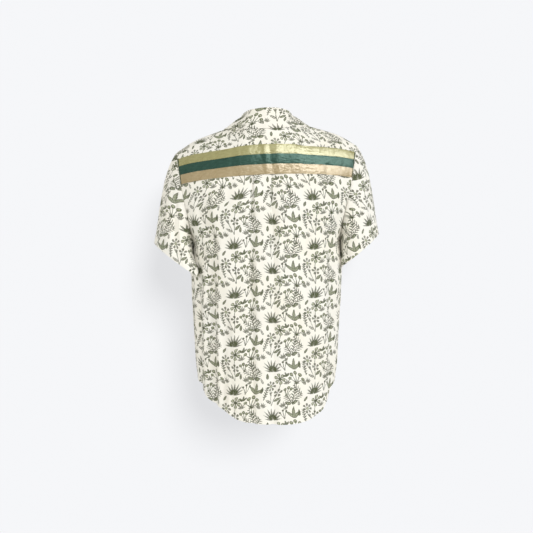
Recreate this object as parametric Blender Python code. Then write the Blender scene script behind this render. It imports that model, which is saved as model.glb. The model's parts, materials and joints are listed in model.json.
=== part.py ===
"""Ribbon shirt, filled out as if worn: hollow walls of cloth, metres, +Z up.

The back of the shirt faces -Y, the wearer's right is +X, and the origin is the middle of the
shoulder line at the height of the collar's base. Every panel is a grid of points on its outer
face. Neighbouring panels share the points of their seam, so their walls meet in a mitre.
"""
import bpy
import numpy as np

MM = 0.001

# Driving dimensions, in millimetres
WALL = 1.0
SEAM_GAP = 0.3
SLEEVE_GAP = 0.5
MITRE_SOFTNESS = 0.04
MITRE_LIMIT = 1.4
LEAST_SLANT = 0.3
RIBBON_WIDTH = 25.4
RIBBON_LIFT = 0.4
RIBBON_END_INSET = 2.0
YOKE_SEAM_MID_Z = -115.0
YOKE_SEAM_SIDE_DROP = 8.0
CHEST_Z = -200.0
UNDERARM_Z = -275.0
PLEAT_CENTRE = -9.0
PLAIN_FROM = (-0.255, -0.185)
PLEAT_OPENS_Z = (-245.0, -125.0)
LAP = 15.0
LAP_STEP = 1.9
LAP_STEP_X = (19.0, 37.0)
LAP_SIDES = (190.0, 280.0)
SHOULDER_LEAN = 0.04
LEAN_FADES_Z = (-620.0, -360.0)
SLEEVE_CLEARANCE = 4.0
CLEAR_FROM = 0.33
CLEAR_ABOVE_UNDERARM = 30.0
COLLAR_LIFT = 0.4
BUTTON_RADIUS = 5.5
BUTTON_THICK = 2.2
BUTTON_LIFT = 1.0
BUTTON_TOP_Z = -66.0
BUTTON_PITCH = 98.0
BUTTON_COUNT = 6
BUTTON_SIDES = 14
# Rings of a button from its underside up, as shares of its radius and of its thickness
BUTTON_RINGS = ((0.86, 0.0), (1.0, 0.45), (0.9, 1.0))

# Numbers of grid steps
PLEAT_SIDE_COLUMNS = 12
SEAM_COLUMNS = 6
NECK_COLUMNS = 7
ARMHOLE_ROWS = 7
YOKE_UPPER_ROWS = 5
FRONT_UPPER_ROWS = 6
FRONT_CHEST_ROWS = 4
LOWER_ROWS = 11
SLEEVE_ROWS = 8

# Level sections of the back. half: half width at the panel's edge. mid_y and edge_y: depth at
# the centre and at the edge. turn: degrees that the cloth turns from the centre to the edge.
# full: how much squarer than an ellipse the section is.
# Columns: z, half, mid_y, edge_y, turn, full.
BACK_SECTIONS = (
    (-60.0, 224.0, -117.0, -48.0, 50.0, 0.00),
    (-90.0, 218.0, -123.5, -62.0, 53.0, 0.00),
    (-123.0, 212.0, -128.0, -75.0, 56.0, 0.00),
    (-165.0, 203.0, -132.0, -78.0, 60.0, 0.00),
    (-200.0, 195.0, -133.0, -72.0, 65.0, 0.00),
    (-235.0, 190.0, -133.0, -53.0, 73.0, 0.06),
    (-262.0, 188.0, -132.5, -25.0, 83.0, 0.20),
    (-275.0, 188.0, -132.0, 0.0, 90.0, 0.33),
    (-330.0, 194.5, -131.0, 0.0, 90.0, 0.28),
    (-400.0, 193.0, -129.0, 0.0, 90.0, 0.25),
    (-450.0, 190.0, -127.0, 0.0, 90.0, 0.20),
    (-520.0, 186.0, -124.0, 0.0, 90.0, 0.15),
    (-575.0, 183.0, -121.5, 0.0, 90.0, 0.12),
    (-630.0, 177.0, -118.5, 0.0, 90.0, 0.10),
    (-720.0, 174.0, -115.0, 0.0, 90.0, 0.08),
)

# Level sections of the two fronts together, with the same columns
FRONT_SECTIONS = (
    (-120.0, 188.0, 92.0, 62.0, 52.0, 0.00),
    (-165.0, 187.0, 114.0, 63.0, 57.0, 0.00),
    (-200.0, 186.0, 127.0, 60.0, 64.0, 0.00),
    (-235.0, 186.0, 133.0, 46.0, 73.0, 0.06),
    (-262.0, 188.0, 135.0, 22.0, 83.0, 0.19),
    (-275.0, 188.0, 135.0, 0.0, 90.0, 0.31),
    (-330.0, 194.5, 134.0, 0.0, 90.0, 0.28),
    (-400.0, 193.0, 130.0, 0.0, 90.0, 0.25),
    (-450.0, 190.0, 127.0, 0.0, 90.0, 0.20),
    (-520.0, 186.0, 124.0, 0.0, 90.0, 0.15),
    (-575.0, 183.0, 121.0, 0.0, 90.0, 0.12),
    (-630.0, 177.0, 118.0, 0.0, 90.0, 0.10),
    (-720.0, 174.0, 114.0, 0.0, 90.0, 0.08),
)

# Hem height round the body. Columns: degrees from the centre, back left, back right, front.
HEM_HEIGHTS = (
    (0.0, -710.0, -710.0, -690.0),
    (12.0, -708.0, -712.0, -690.0),
    (23.0, -702.0, -712.0, -688.0),
    (34.0, -686.0, -707.0, -684.0),
    (44.0, -672.0, -698.0, -674.0),
    (53.0, -662.0, -684.0, -662.0),
    (62.0, -643.0, -656.0, -646.0),
    (74.0, -626.0, -629.0, -628.0),
    (90.0, -621.0, -621.0, -621.0),
)

# The neck seam's right half, from the centre back to the centre front
NECK_RING = (
    (0.0, -88.0, 18.0),
    (27.0, -82.0, 20.0),
    (46.0, -66.0, 26.0),
    (57.0, -42.0, 32.0),
    (60.0, -20.0, 34.0),
    (57.0, 0.0, 28.0),
    (50.0, 14.0, 12.0),
    (36.0, 26.0, -11.0),
    (17.0, 33.0, -32.0),
    (0.0, 35.0, -39.0),
)
NECK_POINT = 5

# The seam of the yoke to the right front, from the neck to the armhole
FRONT_SEAM = (
    (57.0, 0.0, 28.0),
    (90.0, 14.0, 14.0),
    (128.0, 27.0, -6.0),
    (165.0, 37.0, -30.0),
    (200.0, 45.0, -60.0),
)

# What each of the yoke's strands passes on its way over the shoulder, from the centre back
# (side 0) to the armhole (side 1): a point low on the back and a point near the ridge
YOKE_STRANDS = (
    (0.00, (0.0, -118.0, -60.0), (0.0, -104.0, -14.0)),
    (0.25, (55.0, -113.0, -53.0), (51.0, -90.0, -1.0)),
    (0.50, (103.0, -92.0, -40.0), (80.0, -45.0, 21.0)),
    (0.75, (162.0, -72.0, -44.0), (152.0, -22.0, 8.0)),
    (0.88, (194.0, -62.0, -52.0), (188.0, -14.0, -4.0)),
    (1.00, (223.0, -53.0, -66.0), (229.5, -12.0, -30.0)),
)

# The same for the right front's strands, from the neck's front (side 0) to the armhole
FRONT_STRANDS = (
    (0.00, (0.0, 62.0, -83.0), (0.0, 98.0, -140.0)),
    (0.25, (36.0, 54.0, -58.0), (45.0, 94.0, -128.0)),
    (0.50, (66.0, 40.0, -15.0), (84.0, 89.0, -98.0)),
    (0.75, (135.0, 52.0, -52.0), (142.0, 84.0, -118.0)),
    (1.00, (193.0, 58.0, -98.0), (187.0, 65.0, -148.0)),
)

# Section of one side of the box pleat, out from the pleat's centre: how far out and how deep
# the cloth's face lies where it is folded at the seam, half open, and open below.
# Columns: folded out and deep, half open out and deep, open out and deep.
PLEAT_MIDDLE = (0.0, 0.0, 0.0, -0.7, 0.0, -1.8)
PLEAT_PATH = (
    (9.0, 0.0, 8.5, -0.6, 7.0, -1.6),
    (17.5, 0.0, 16.0, -0.3, 13.0, -0.8),
    (19.6, 0.3, 18.8, 0.4, 16.5, 0.8),
    (20.5, 1.4, 20.0, 1.7, 18.5, 2.4),
    (19.6, 2.5, 19.8, 3.1, 20.5, 4.2),
    (17.5, 2.8, 18.9, 4.3, 22.5, 5.6),
    (9.0, 2.8, 17.6, 5.6, 24.5, 6.4),
    (8.5, 3.4, 18.4, 7.0, 26.5, 6.5),
    (9.0, 4.0, 20.6, 7.4, 28.5, 6.0),
    (18.0, 4.2, 25.0, 6.4, 31.5, 4.6),
    (25.0, 3.6, 30.0, 4.2, 35.0, 2.8),
    (32.0, 1.6, 36.0, 1.8, 39.0, 1.1),
    (39.0, 0.2, 42.0, 0.3, 44.0, 0.2),
)

# Soft folds of the body: where each one starts and ends, how deep (a ridge is negative) and how
# wide it is to each side. Columns: x_top, z_top, x_end, z_end, deep, reach, where x_top and
# x_end are measured round the panel from its centre.
BACK_FOLDS = (
    (-118.0, -140.0, -128.0, -640.0, 5.0, 22.0),
    (-160.0, -250.0, -182.0, -600.0, 5.5, 24.0),
    (-86.0, -400.0, -94.0, -690.0, 4.5, 18.0),
    (-208.0, -300.0, -226.0, -600.0, 4.0, 22.0),
    (98.0, -190.0, 110.0, -670.0, 5.0, 22.0),
    (62.0, -420.0, 68.0, -700.0, 3.5, 17.0),
    (156.0, -240.0, 172.0, -650.0, 5.5, 26.0),
    (214.0, -310.0, 222.0, -600.0, 4.0, 22.0),
)
FOLDS_END_SIDE = (0.9, 0.995)
FRONT_FOLDS = (
    (-190.0, -230.0, -150.0, -560.0, 5.0, 26.0),
    (-92.0, -300.0, -84.0, -670.0, 5.0, 24.0),
    (-215.0, -320.0, -214.0, -600.0, 4.0, 22.0),
    (190.0, -235.0, 146.0, -580.0, 5.0, 26.0),
    (84.0, -280.0, 92.0, -660.0, 5.0, 24.0),
    (218.0, -330.0, 212.0, -600.0, 4.0, 22.0),
    (44.0, -430.0, 48.0, -680.0, 3.0, 18.0),
)

# Sleeve: hem's outer and inner ends (x, z), half depth, and the directions (x, z) in which the
# cloth leaves the armhole at its top and at the underarm, and comes to the hem
HEM_OUTER = (290.0, -259.0)
HEM_INNER = (199.0, -336.0)
HEM_HALF_DEPTH = 68.0
CAP_WAY = (0.62, -0.78)
UNDERARM_WAY = (0.88, -0.47)
HEM_WAY = (0.20, -0.98)
CAP_HANDLE = 0.27
# How far, and which way, the inner side of each sleeve laps round the back at the hem
SLEEVE_LAP = {"left": 40.0, "right": 8.0}
LAP_WAY = (-0.5, -1.0, -0.25)

# Folds of a sleeve: share of the way round from the underarm at the armhole and at the hem,
# where along the sleeve it starts and ends, how deep and how wide (shares of the way round)
SLEEVE_FOLDS = {
    "left": (
        (0.30, 0.20, 0.10, 0.85, 6.0, 0.045),
        (0.22, 0.13, 0.30, 1.00, 4.5, 0.040),
        (0.40, 0.40, 0.45, 1.00, 3.0, 0.050),
        (0.74, 0.82, 0.10, 0.85, 5.0, 0.050),
    ),
    "right": (
        (0.26, 0.18, 0.15, 0.90, 5.0, 0.045),
        (0.36, 0.37, 0.40, 1.00, 3.0, 0.050),
        (0.76, 0.84, 0.10, 0.85, 5.0, 0.050),
    ),
}

# Collar, from the centre back to the front end: the crest of the roll and the fall's free edge
COLLAR_ROWS = (
    ((0.0, -82.0, 56.0), (0.0, -106.0, 6.0)),
    ((27.0, -76.0, 56.0), (37.0, -101.0, 8.0)),
    ((46.0, -61.0, 55.5), (70.0, -86.0, 13.0)),
    ((58.0, -40.0, 54.0), (95.0, -56.0, 24.0)),
    ((63.0, -20.0, 51.0), (110.0, -22.0, 26.0)),
    ((62.0, -2.0, 45.0), (111.0, 14.0, 17.0)),
    ((56.0, 12.0, 33.0), (98.0, 50.0, -8.0)),
    ((43.0, 24.0, 13.0), (78.0, 64.0, -31.0)),
    ((24.0, 33.0, -7.0), (58.0, 73.0, -54.0)),
    ((5.0, 37.0, -16.0), (41.0, 77.0, -71.0)),
)

COLLAR_HALF_SPREAD = 1.5

# Collar's profile from the neck seam over the roll to the free edge. Columns: share of the seam's
# point, share of the crest's (the rest is the edge's), and millimetres outwards and up from there.
COLLAR_PROFILE = (
    (1.00, 0.000, 0.0, 0.0),
    (0.55, 0.450, 0.5, 0.0),
    (0.00, 1.000, -2.4, -5.0),
    (0.00, 1.000, -2.2, -1.8),
    (0.00, 1.000, 0.0, 0.0),
    (0.00, 1.000, 2.4, -1.2),
    (0.00, 1.000, 3.6, -4.0),
    (0.00, 0.700, 3.1, 0.9),
    (0.00, 0.375, 1.9, 1.1),
    (0.00, 0.000, 0.0, 0.0),
)

CREAM = (0.93, 0.90, 0.80, 1.0)
OLIVE = (0.40, 0.42, 0.15, 1.0)
TEAL = (0.03, 0.11, 0.08, 1.0)
TAN = (0.50, 0.36, 0.22, 1.0)
SHELL_WHITE = (0.86, 0.84, 0.78, 1.0)


def through(knots, values, at, slopes=None):
    """Smooth curve through a table's rows: cubic pieces whose slopes are central differences."""
    knots = np.asarray(knots, float)
    values = np.asarray(values, float)
    if slopes is None:
        slopes = np.gradient(values, knots, axis=0)
    at = np.clip(at, knots[0], knots[-1])
    i = np.clip(np.searchsorted(knots, at, side="right") - 1, 0, len(knots) - 2)
    step = (knots[i + 1] - knots[i]).reshape(np.shape(at) + (1,) * (values.ndim - 1))
    t = (at - knots[i]).reshape(step.shape) / step
    start = values[i] * (2 * t**3 - 3 * t**2 + 1) + slopes[i] * step * (t**3 - 2 * t**2 + t)
    end = values[i + 1] * (3 * t**2 - 2 * t**3) + slopes[i + 1] * step * (t**3 - t**2)
    return start + end


def section_values(rows, at):
    """A table's other columns at given values of its first: smooth, with no overshoot."""
    rows = np.array(rows)
    rows = rows[np.argsort(rows[:, 0])]
    rise = np.diff(rows[:, 1:], axis=0) / np.diff(rows[:, 0])[:, None]
    before, after = rise[:-1], rise[1:]
    same_way = before * after > 0.0
    total = np.where(same_way, before + after, 1.0)
    inner = np.where(same_way, 2.0 * before * after / total, 0.0)
    slopes = np.concatenate((rise[:1], inner, rise[-1:]))
    return np.moveaxis(through(rows[:, 0], rows[:, 1:], at, slopes), -1, 0)


def along(points, shares):
    """Points at given shares of the length of the smooth curve through the given points."""
    points = np.asarray(points, float)
    steps = np.linalg.norm(np.diff(points, axis=0), axis=1)
    travelled = np.concatenate(([0.0], np.cumsum(steps)))
    fine = through(travelled, points, np.linspace(0.0, travelled[-1], 241))
    steps = np.linalg.norm(np.diff(fine, axis=0), axis=1)
    travelled = np.concatenate(([0.0], np.cumsum(steps)))
    at = np.asarray(shares) * travelled[-1]
    return np.stack([np.interp(at, travelled, fine[:, axis]) for axis in range(3)], axis=-1)


def ease(value, start, end):
    """0 before start, 1 after end, smooth between them."""
    t = np.clip((value - start) / (end - start), 0.0, 1.0)
    return t * t * (3.0 - 2.0 * t)


def body_point(sections, side, z):
    """Point of a level section: an arc from the centre (side 0) to the edges (side -1 and 1)."""
    half, mid_y, edge_y, turn, full = section_values(sections, z)
    turn = np.radians(turn)
    angle = side * turn
    x = half * np.sin(angle) / np.sin(turn)
    share = (np.cos(angle) - np.cos(turn)) / (1.0 - np.cos(turn))
    y = edge_y + (mid_y - edge_y) * share * (1.0 + full * (1.0 - share))
    return np.stack([x, y, z], axis=-1)


def reach_of(sections, z):
    """Millimetres round the panel from its centre to its edge at each height, nearly enough."""
    half, mid_y, edge_y, turn, _ = section_values(sections, z)
    turn = np.radians(turn)
    return 0.5 * turn * (half / np.sin(turn) + abs(mid_y - edge_y) / (1.0 - np.cos(turn)))


def fold_depth(folds, round_mm, z):
    """Depth of all the soft folds at each point: each one is a cosine hollow along a slant."""
    total = np.zeros_like(z)
    for x_top, z_top, x_end, z_end, deep, reach in folds:
        share = np.clip((z_top - z) / (z_top - z_end), 0.0, 1.0)
        off = (round_mm - (x_top + (x_end - x_top) * share)) / reach
        hollow = 0.5 + 0.5 * np.cos(np.pi * np.clip(off, -1.0, 1.0))
        total += deep * hollow * ease(z, z_top, z_top - 90.0) * (1.0 - 0.4 * ease(share, 0.8, 1.0))
    return total


def sunk_body(sections, folds, side, z, outward, extra=0.0):
    """Body points with the soft folds, and any extra depth, let in square to the cloth."""
    step = 0.002
    point = body_point(sections, side, z)
    across = body_point(sections, side + step, z) - body_point(sections, side - step, z)
    down = body_point(sections, side, z - 1.0) - body_point(sections, side, z + 1.0)
    normal = np.cross(across, down) * outward
    normal /= np.linalg.norm(normal, axis=-1, keepdims=True)
    depth = fold_depth(folds, side * reach_of(sections, z), z) + extra
    depth *= 1.0 - ease(np.abs(side), *FOLDS_END_SIDE)
    return point - normal * depth[..., None]


def hem_height(side, front):
    """Height of the hem where a panel's edge is side 1 and the wearer's right is positive."""
    left_z, right_z, front_z = section_values(HEM_HEIGHTS, np.abs(side) * 90.0)
    return front_z if front else np.where(side < 0.0, left_z, right_z)


def mirrored(point, side):
    """A point of the right half, put on the left where side is negative."""
    return point * np.stack([np.where(side < 0.0, -1.0, 1.0)] + [np.ones_like(side)] * 2, axis=-1)


def strand_table(rows, side):
    """The two points that each strand passes, read from the table by its side."""
    sides = np.array([row[0] for row in rows])
    low = through(sides, np.array([row[1] for row in rows]), np.abs(side))
    high = through(sides, np.array([row[2] for row in rows]), np.abs(side))
    return mirrored(low, side), mirrored(high, side)


def resampled(strands, lengths):
    """Each strand's points at given lengths (mm) from its start. Strands run on axis 0."""
    knots = np.arange(len(strands), dtype=float)
    fine = through(knots, strands, np.linspace(0.0, knots[-1], 121))
    steps = np.linalg.norm(np.diff(fine, axis=0), axis=-1)
    travelled = np.concatenate((np.zeros((1, steps.shape[1])), np.cumsum(steps, axis=0)))
    result = np.empty((fine.shape[1], lengths.shape[1], 3))
    for column in range(fine.shape[1]):
        for axis in range(3):
            result[column, :, axis] = np.interp(
                lengths[column], travelled[:, column], fine[:, column, axis])
    return result


def strand_length(strands):
    knots = np.arange(len(strands), dtype=float)
    fine = through(knots, strands, np.linspace(0.0, knots[-1], 121))
    return np.linalg.norm(np.diff(fine, axis=0), axis=-1).sum(axis=0)


def panel_sides():
    """Sides of the strands of the yoke and the fronts: the neck's half, then the seam's."""
    neck = np.linspace(0.0, 0.5, NECK_COLUMNS + 1)
    seam = np.linspace(0.5, 1.0, SEAM_COLUMNS + 1)
    return np.concatenate((neck, seam[1:]))


def top_points(side, first, last):
    """Where the strands end: on the neck ring from its row first to last, then on the seam."""
    ring = np.array(NECK_RING)[first:last + 1]
    if first:
        ring = ring[::-1]
    on_neck = along(ring, np.clip(np.abs(side) * 2.0, 0.0, 1.0))
    on_seam = along(FRONT_SEAM, np.clip(np.abs(side) * 2.0 - 1.0, 0.0, 1.0))
    return mirrored(np.where(np.abs(side)[..., None] <= 0.5, on_neck, on_seam), side)


def yoke_seam_z(side):
    return YOKE_SEAM_MID_Z - YOKE_SEAM_SIDE_DROP * side**2


def yoke_grid():
    """Yoke, columns from left to right, rows from the back seam up and over the shoulders."""
    half = panel_sides()
    side = np.concatenate((-half[:0:-1], half))
    seam_z = yoke_seam_z(side)
    below = body_point(BACK_SECTIONS, side, seam_z - 45.0)
    start = body_point(BACK_SECTIONS, side, seam_z)
    low, high = strand_table(YOKE_STRANDS, side)
    end = top_points(side, 0, NECK_POINT)
    strands = np.stack((below, start, low, high, end))
    whole = strand_length(strands)
    skipped = np.linalg.norm(start - below, axis=-1)
    ribbons = np.arange(4) * RIBBON_WIDTH
    rest = np.linspace(0.0, 1.0, YOKE_UPPER_ROWS + 1)[1:]
    upper = ribbons[-1] + (whole - skipped - ribbons[-1])[:, None] * rest
    lengths = np.concatenate((np.tile(ribbons, (len(side), 1)), upper), axis=1)
    grid = resampled(strands, lengths + skipped[:, None])
    grid[:, 0] = start
    grid[:, -1] = end
    return grid


def pleat_columns():
    """The pleat's columns from left to right, with the columns of its table."""
    path = np.array(PLEAT_PATH)
    return np.concatenate((path[::-1] * ((-1.0, 1.0) * 3), [PLEAT_MIDDLE], path))


def back_grid():
    """Back panel, columns from left to right, rows from the yoke seam down to the hem."""
    pleat = pleat_columns()
    left, right = (np.linspace(start, -1.0, PLEAT_SIDE_COLUMNS + 1) for start in PLAIN_FROM)
    rows = range(ARMHOLE_ROWS + LOWER_ROWS + 1)
    return np.stack([back_row(row, pleat, left[::-1], -right) for row in rows], axis=1)


def row_height(row, side, front, top_z):
    """Height of a row: level at the underarm, parallel to the top above and the hem below."""
    if row <= 0:
        share = -row
        return UNDERARM_Z + (top_z - UNDERARM_Z) * share
    share = row / LOWER_ROWS
    return UNDERARM_Z + (hem_height(side, front) - UNDERARM_Z) * share


def back_row(row, pleat, left, right):
    """One row of the back panel, with the pleat's columns placed in millimetres."""
    upper = 1.0 - np.sin(0.5 * np.pi * min(row / ARMHOLE_ROWS, 1.0))
    nominal_z = UNDERARM_Z + (YOKE_SEAM_MID_Z - UNDERARM_Z) * upper
    if row > ARMHOLE_ROWS:
        nominal_z = UNDERARM_Z + (HEM_HEIGHTS[0][1] - UNDERARM_Z) * (row - ARMHOLE_ROWS) / LOWER_ROWS
    opened = 1.0 - ease(nominal_z, *PLEAT_OPENS_Z)
    folded, half, wide = pleat[:, 0:2], pleat[:, 2:4], pleat[:, 4:6]
    path = folded + (half - folded) * min(2.0 * opened, 1.0)
    path += (wide - half) * max(2.0 * opened - 1.0, 0.0)
    out, deep = path.T
    per_side = reach_near_middle(nominal_z)
    pleat_side = (PLEAT_CENTRE + out) / per_side
    side = np.concatenate((left, pleat_side, right))
    extra = np.concatenate((np.zeros_like(left), deep, np.zeros_like(right)))
    if row <= ARMHOLE_ROWS:
        z = row_height(-upper, side, False, yoke_seam_z(side))
    else:
        z = row_height(row - ARMHOLE_ROWS, side, False, yoke_seam_z(side))
    return sunk_body(BACK_SECTIONS, BACK_FOLDS, side, z, -1.0, extra)


def reach_near_middle(z):
    """Millimetres along X for each unit of side at the centre of the back."""
    half, _, _, turn, _ = section_values(BACK_SECTIONS, z)
    turn = np.radians(turn)
    return half * turn / np.sin(turn)


def front_grid(lap_side):
    """Whole front's columns on one side of the centre, rows from neck and seam to the hem."""
    half = panel_sides()
    lap = np.array((-LAP, -LAP * 0.5))
    side = np.concatenate((lap / LAP_SIDES[0], half)) * lap_side
    end = top_points(side, NECK_POINT, len(NECK_RING) - 1)
    low, high = strand_table(FRONT_STRANDS, side)
    side = np.concatenate((lap / LAP_SIDES[1], half)) * lap_side
    chest_z = np.full_like(side, CHEST_Z)
    chest = body_point(FRONT_SECTIONS, side, chest_z)
    below = body_point(FRONT_SECTIONS, side, chest_z - 50.0)
    strands = np.stack((end, low, high, chest, below))
    whole = strand_length(strands[:4])
    shares = np.linspace(0.0, 1.0, FRONT_UPPER_ROWS + 1)
    upper = resampled(strands, whole[:, None] * shares)
    upper[:, 0] = end
    upper[:, -1] = chest
    rows = [upper[:, row] for row in range(FRONT_UPPER_ROWS)]
    for row in range(FRONT_CHEST_ROWS):
        z = chest_z + (UNDERARM_Z - CHEST_Z) * np.sin(0.5 * np.pi * row / FRONT_CHEST_ROWS)
        rows.append(sunk_body(FRONT_SECTIONS, FRONT_FOLDS, side, z, 1.0))
    for row in range(LOWER_ROWS + 1):
        z = row_height(row, side, True, chest_z) if row else np.full_like(side, UNDERARM_Z)
        rows.append(sunk_body(FRONT_SECTIONS, FRONT_FOLDS, side, z, 1.0))
    return np.stack(rows, axis=1)


def sleeve_grid(ring, hand):
    """Sleeve: strands from the armhole ring, which starts at the underarm, to the hem ring."""
    mirror = -1.0 if hand == "left" else 1.0
    ring = ring * (mirror, 1.0, 1.0)
    steps = np.linalg.norm(np.diff(ring, axis=0, append=ring[:1]), axis=1)
    travelled = np.concatenate(([0.0], np.cumsum(steps)[:-1])) / steps.sum()
    top = travelled[np.argmax(ring[:, 2])]
    share = np.where(travelled < top, 0.5 * travelled / top,
                     0.5 + 0.5 * (travelled - top) / (1.0 - top))
    angle = 2.0 * np.pi * share
    outer = np.array((HEM_OUTER[0], 0.0, HEM_OUTER[1]))
    inner = np.array((HEM_INNER[0], 0.0, HEM_INNER[1]))
    inward = (0.5 + 0.5 * np.cos(angle)[:, None]) ** 2
    hem = (outer + inner) / 2 - (outer - inner) / 2 * np.cos(angle)[:, None]
    hem += np.array((0.0, -HEM_HALF_DEPTH, 0.0)) * np.sin(angle)[:, None]
    hem += np.array(LAP_WAY) * SLEEVE_LAP[hand] * inward
    cap_way = np.array((CAP_WAY[0], 0.0, CAP_WAY[1]))
    low_way = np.array((UNDERARM_WAY[0], 0.0, UNDERARM_WAY[1]))
    leave = cap_way + (low_way - cap_way) * inward
    arrive = np.array((HEM_WAY[0], 0.0, HEM_WAY[1]))
    handle = CAP_HANDLE * np.linalg.norm(hem - ring, axis=1)[:, None]
    rows = []
    for row in range(SLEEVE_ROWS + 1):
        t = row / SLEEVE_ROWS
        curve = (1 - t) ** 3 * ring + 3 * (1 - t) ** 2 * t * (ring + leave * handle)
        curve += 3 * (1 - t) * t**2 * (hem - arrive * handle) + t**3 * hem
        rows.append(outside_body(curve, SLEEVE_CLEARANCE * min(1.0, t / CLEAR_FROM)))
    grid = np.stack(rows, axis=1)
    grid = sleeve_folds(grid, share, SLEEVE_FOLDS[hand])
    grid[:, 0] = ring
    return grid * (mirror, 1.0, 1.0)


def outside_body(points, clearance):
    """Points below the underarm that would lie inside the body, moved out of its section."""
    x, y, z = points.T
    level = np.minimum(z, UNDERARM_Z)
    half, deep, _, _, full = np.abs(section_values(BACK_SECTIONS, level))
    deep = deep * (1.0 + 0.3 * full)
    ratio = np.hypot(x / half, y / deep)
    wanted = 1.0 + clearance / half
    near = z < UNDERARM_Z + CLEAR_ABOVE_UNDERARM
    grow = np.where(near & (ratio < wanted), wanted / ratio, 1.0)
    return np.stack([x * grow, y * grow, z], axis=1)


def sleeve_folds(grid, share, folds):
    """Folds of a sleeve, as hollows towards the sleeve's middle line."""
    t = np.linspace(0.0, 1.0, grid.shape[1])[None, :]
    middle = grid.mean(axis=0, keepdims=True)
    inward = middle - grid
    inward /= np.linalg.norm(inward, axis=-1, keepdims=True)
    depth = np.zeros(grid.shape[:2])
    for start, end, t_start, t_end, deep, reach in folds:
        off = (share[:, None] - (start + (end - start) * t)) / reach
        hollow = 0.5 + 0.5 * np.cos(np.pi * np.clip(off, -1.0, 1.0))
        rise = ease(t, t_start - 0.1, t_start + 0.25)
        fall = 1.0 - ease(t, t_end - 0.15, t_end + 0.2)
        depth += deep * hollow * rise * fall
    return grid + inward * depth[..., None]


def collar_grid():
    """Collar, columns from the left front end round the back, rows up the stand and down."""
    sides = np.linspace(0.0, 1.0, NECK_COLUMNS + 1)
    ring = np.array(NECK_RING)
    back = along(ring[:NECK_POINT + 1], sides)
    front = along(ring[NECK_POINT:], sides)[1:]
    seam = np.concatenate((back, front))
    knots = np.arange(len(COLLAR_ROWS), dtype=float)
    at = np.concatenate((sides * NECK_POINT,
                         NECK_POINT + sides[1:] * (len(COLLAR_ROWS) - 1 - NECK_POINT)))
    crest = through(knots, np.array([row[0] for row in COLLAR_ROWS]), at)
    edge = through(knots, np.array([row[1] for row in COLLAR_ROWS]), at)
    seam = seam + (0.0, 0.0, COLLAR_LIFT)
    out = edge - crest
    out[:, 2] = 0.0
    out /= np.linalg.norm(out, axis=1, keepdims=True)
    up = np.array((0.0, 0.0, 1.0))
    half = np.stack([
        seam * of_seam + crest * of_crest + edge * (1.0 - of_seam - of_crest) + out * wide + up * high
        for of_seam, of_crest, wide, high in COLLAR_PROFILE], axis=1)
    half[-1, :, 0] = np.maximum(half[-1, :, 0], COLLAR_HALF_SPREAD)
    return np.concatenate((half[:0:-1] * (-1.0, 1.0, 1.0), half))


def leaned(grid):
    """The whole shirt hangs a little lower on the wearer's left, most at the shoulders."""
    share = ease(grid[..., 2], *LEAN_FADES_Z)
    result = grid.copy()
    result[..., 2] += SHOULDER_LEAN * grid[..., 0] * share
    return result


def grid_normals(grid, outward, closed):
    """Normals of a grid's points, the sum of those of the faces round each one."""
    if closed:
        grid = np.concatenate((grid, grid[:1]))
    a, b, c, d = grid[:-1, :-1], grid[1:, :-1], grid[1:, 1:], grid[:-1, 1:]
    face = np.cross(c - a, d - b) * outward
    total = np.zeros_like(grid)
    for across in (0, 1):
        for down in (0, 1):
            columns = slice(across, across + face.shape[0])
            rows = slice(down, down + face.shape[1])
            total[columns, rows] += face
    if closed:
        total[0] += total[-1]
        total = total[:-1]
    return total


def shared_normals(panels):
    """Normals of each panel's points. At a seam the panels share one, as long as gives each of
    them its full thickness there (the least-squares answer)."""
    points = np.concatenate([grid.reshape(-1, 3) for grid, _, _ in panels])
    normals = np.concatenate([grid_normals(*panel).reshape(-1, 3) for panel in panels])
    normals /= np.linalg.norm(normals, axis=1, keepdims=True)
    _, same = np.unique(np.round(points, 4), axis=0, return_inverse=True)
    same = same.ravel()
    count = same.max() + 1
    total = np.zeros((count, 3))
    spread = np.tile(MITRE_SOFTNESS * np.eye(3), (count, 1, 1))
    np.add.at(total, same, normals)
    np.add.at(spread, same, normals[:, :, None] * normals[:, None, :])
    total = np.linalg.solve(spread, total[:, :, None])[:, :, 0]
    length = np.linalg.norm(total, axis=1, keepdims=True)
    total = (total * np.minimum(1.0, MITRE_LIMIT / length))[same]
    result = []
    start = 0
    for grid, _, _ in panels:
        count = grid.shape[0] * grid.shape[1]
        result.append(total[start:start + count].reshape(grid.shape))
        start += count
    return result


def drawn_in(grid, by, closed):
    """The grid with its free edges drawn in along the cloth and square to them."""
    result = grid.copy()
    ends = [(slice(None), 0, slice(None), 1), (slice(None), -1, slice(None), -2)]
    if not closed:
        ends += [(0, slice(None), 1, slice(None)), (-1, slice(None), -2, slice(None))]
    for column, row, next_column, next_row in ends:
        edge = grid[column, row]
        way = grid[next_column, next_row] - edge
        way /= np.linalg.norm(way, axis=-1, keepdims=True)
        tangent = np.gradient(edge, axis=0)
        tangent /= np.linalg.norm(tangent, axis=-1, keepdims=True)
        slant = np.linalg.norm(np.cross(way, tangent), axis=-1, keepdims=True)
        result[column, row] += way * by / np.maximum(slant, LEAST_SLANT)
    return result


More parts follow.
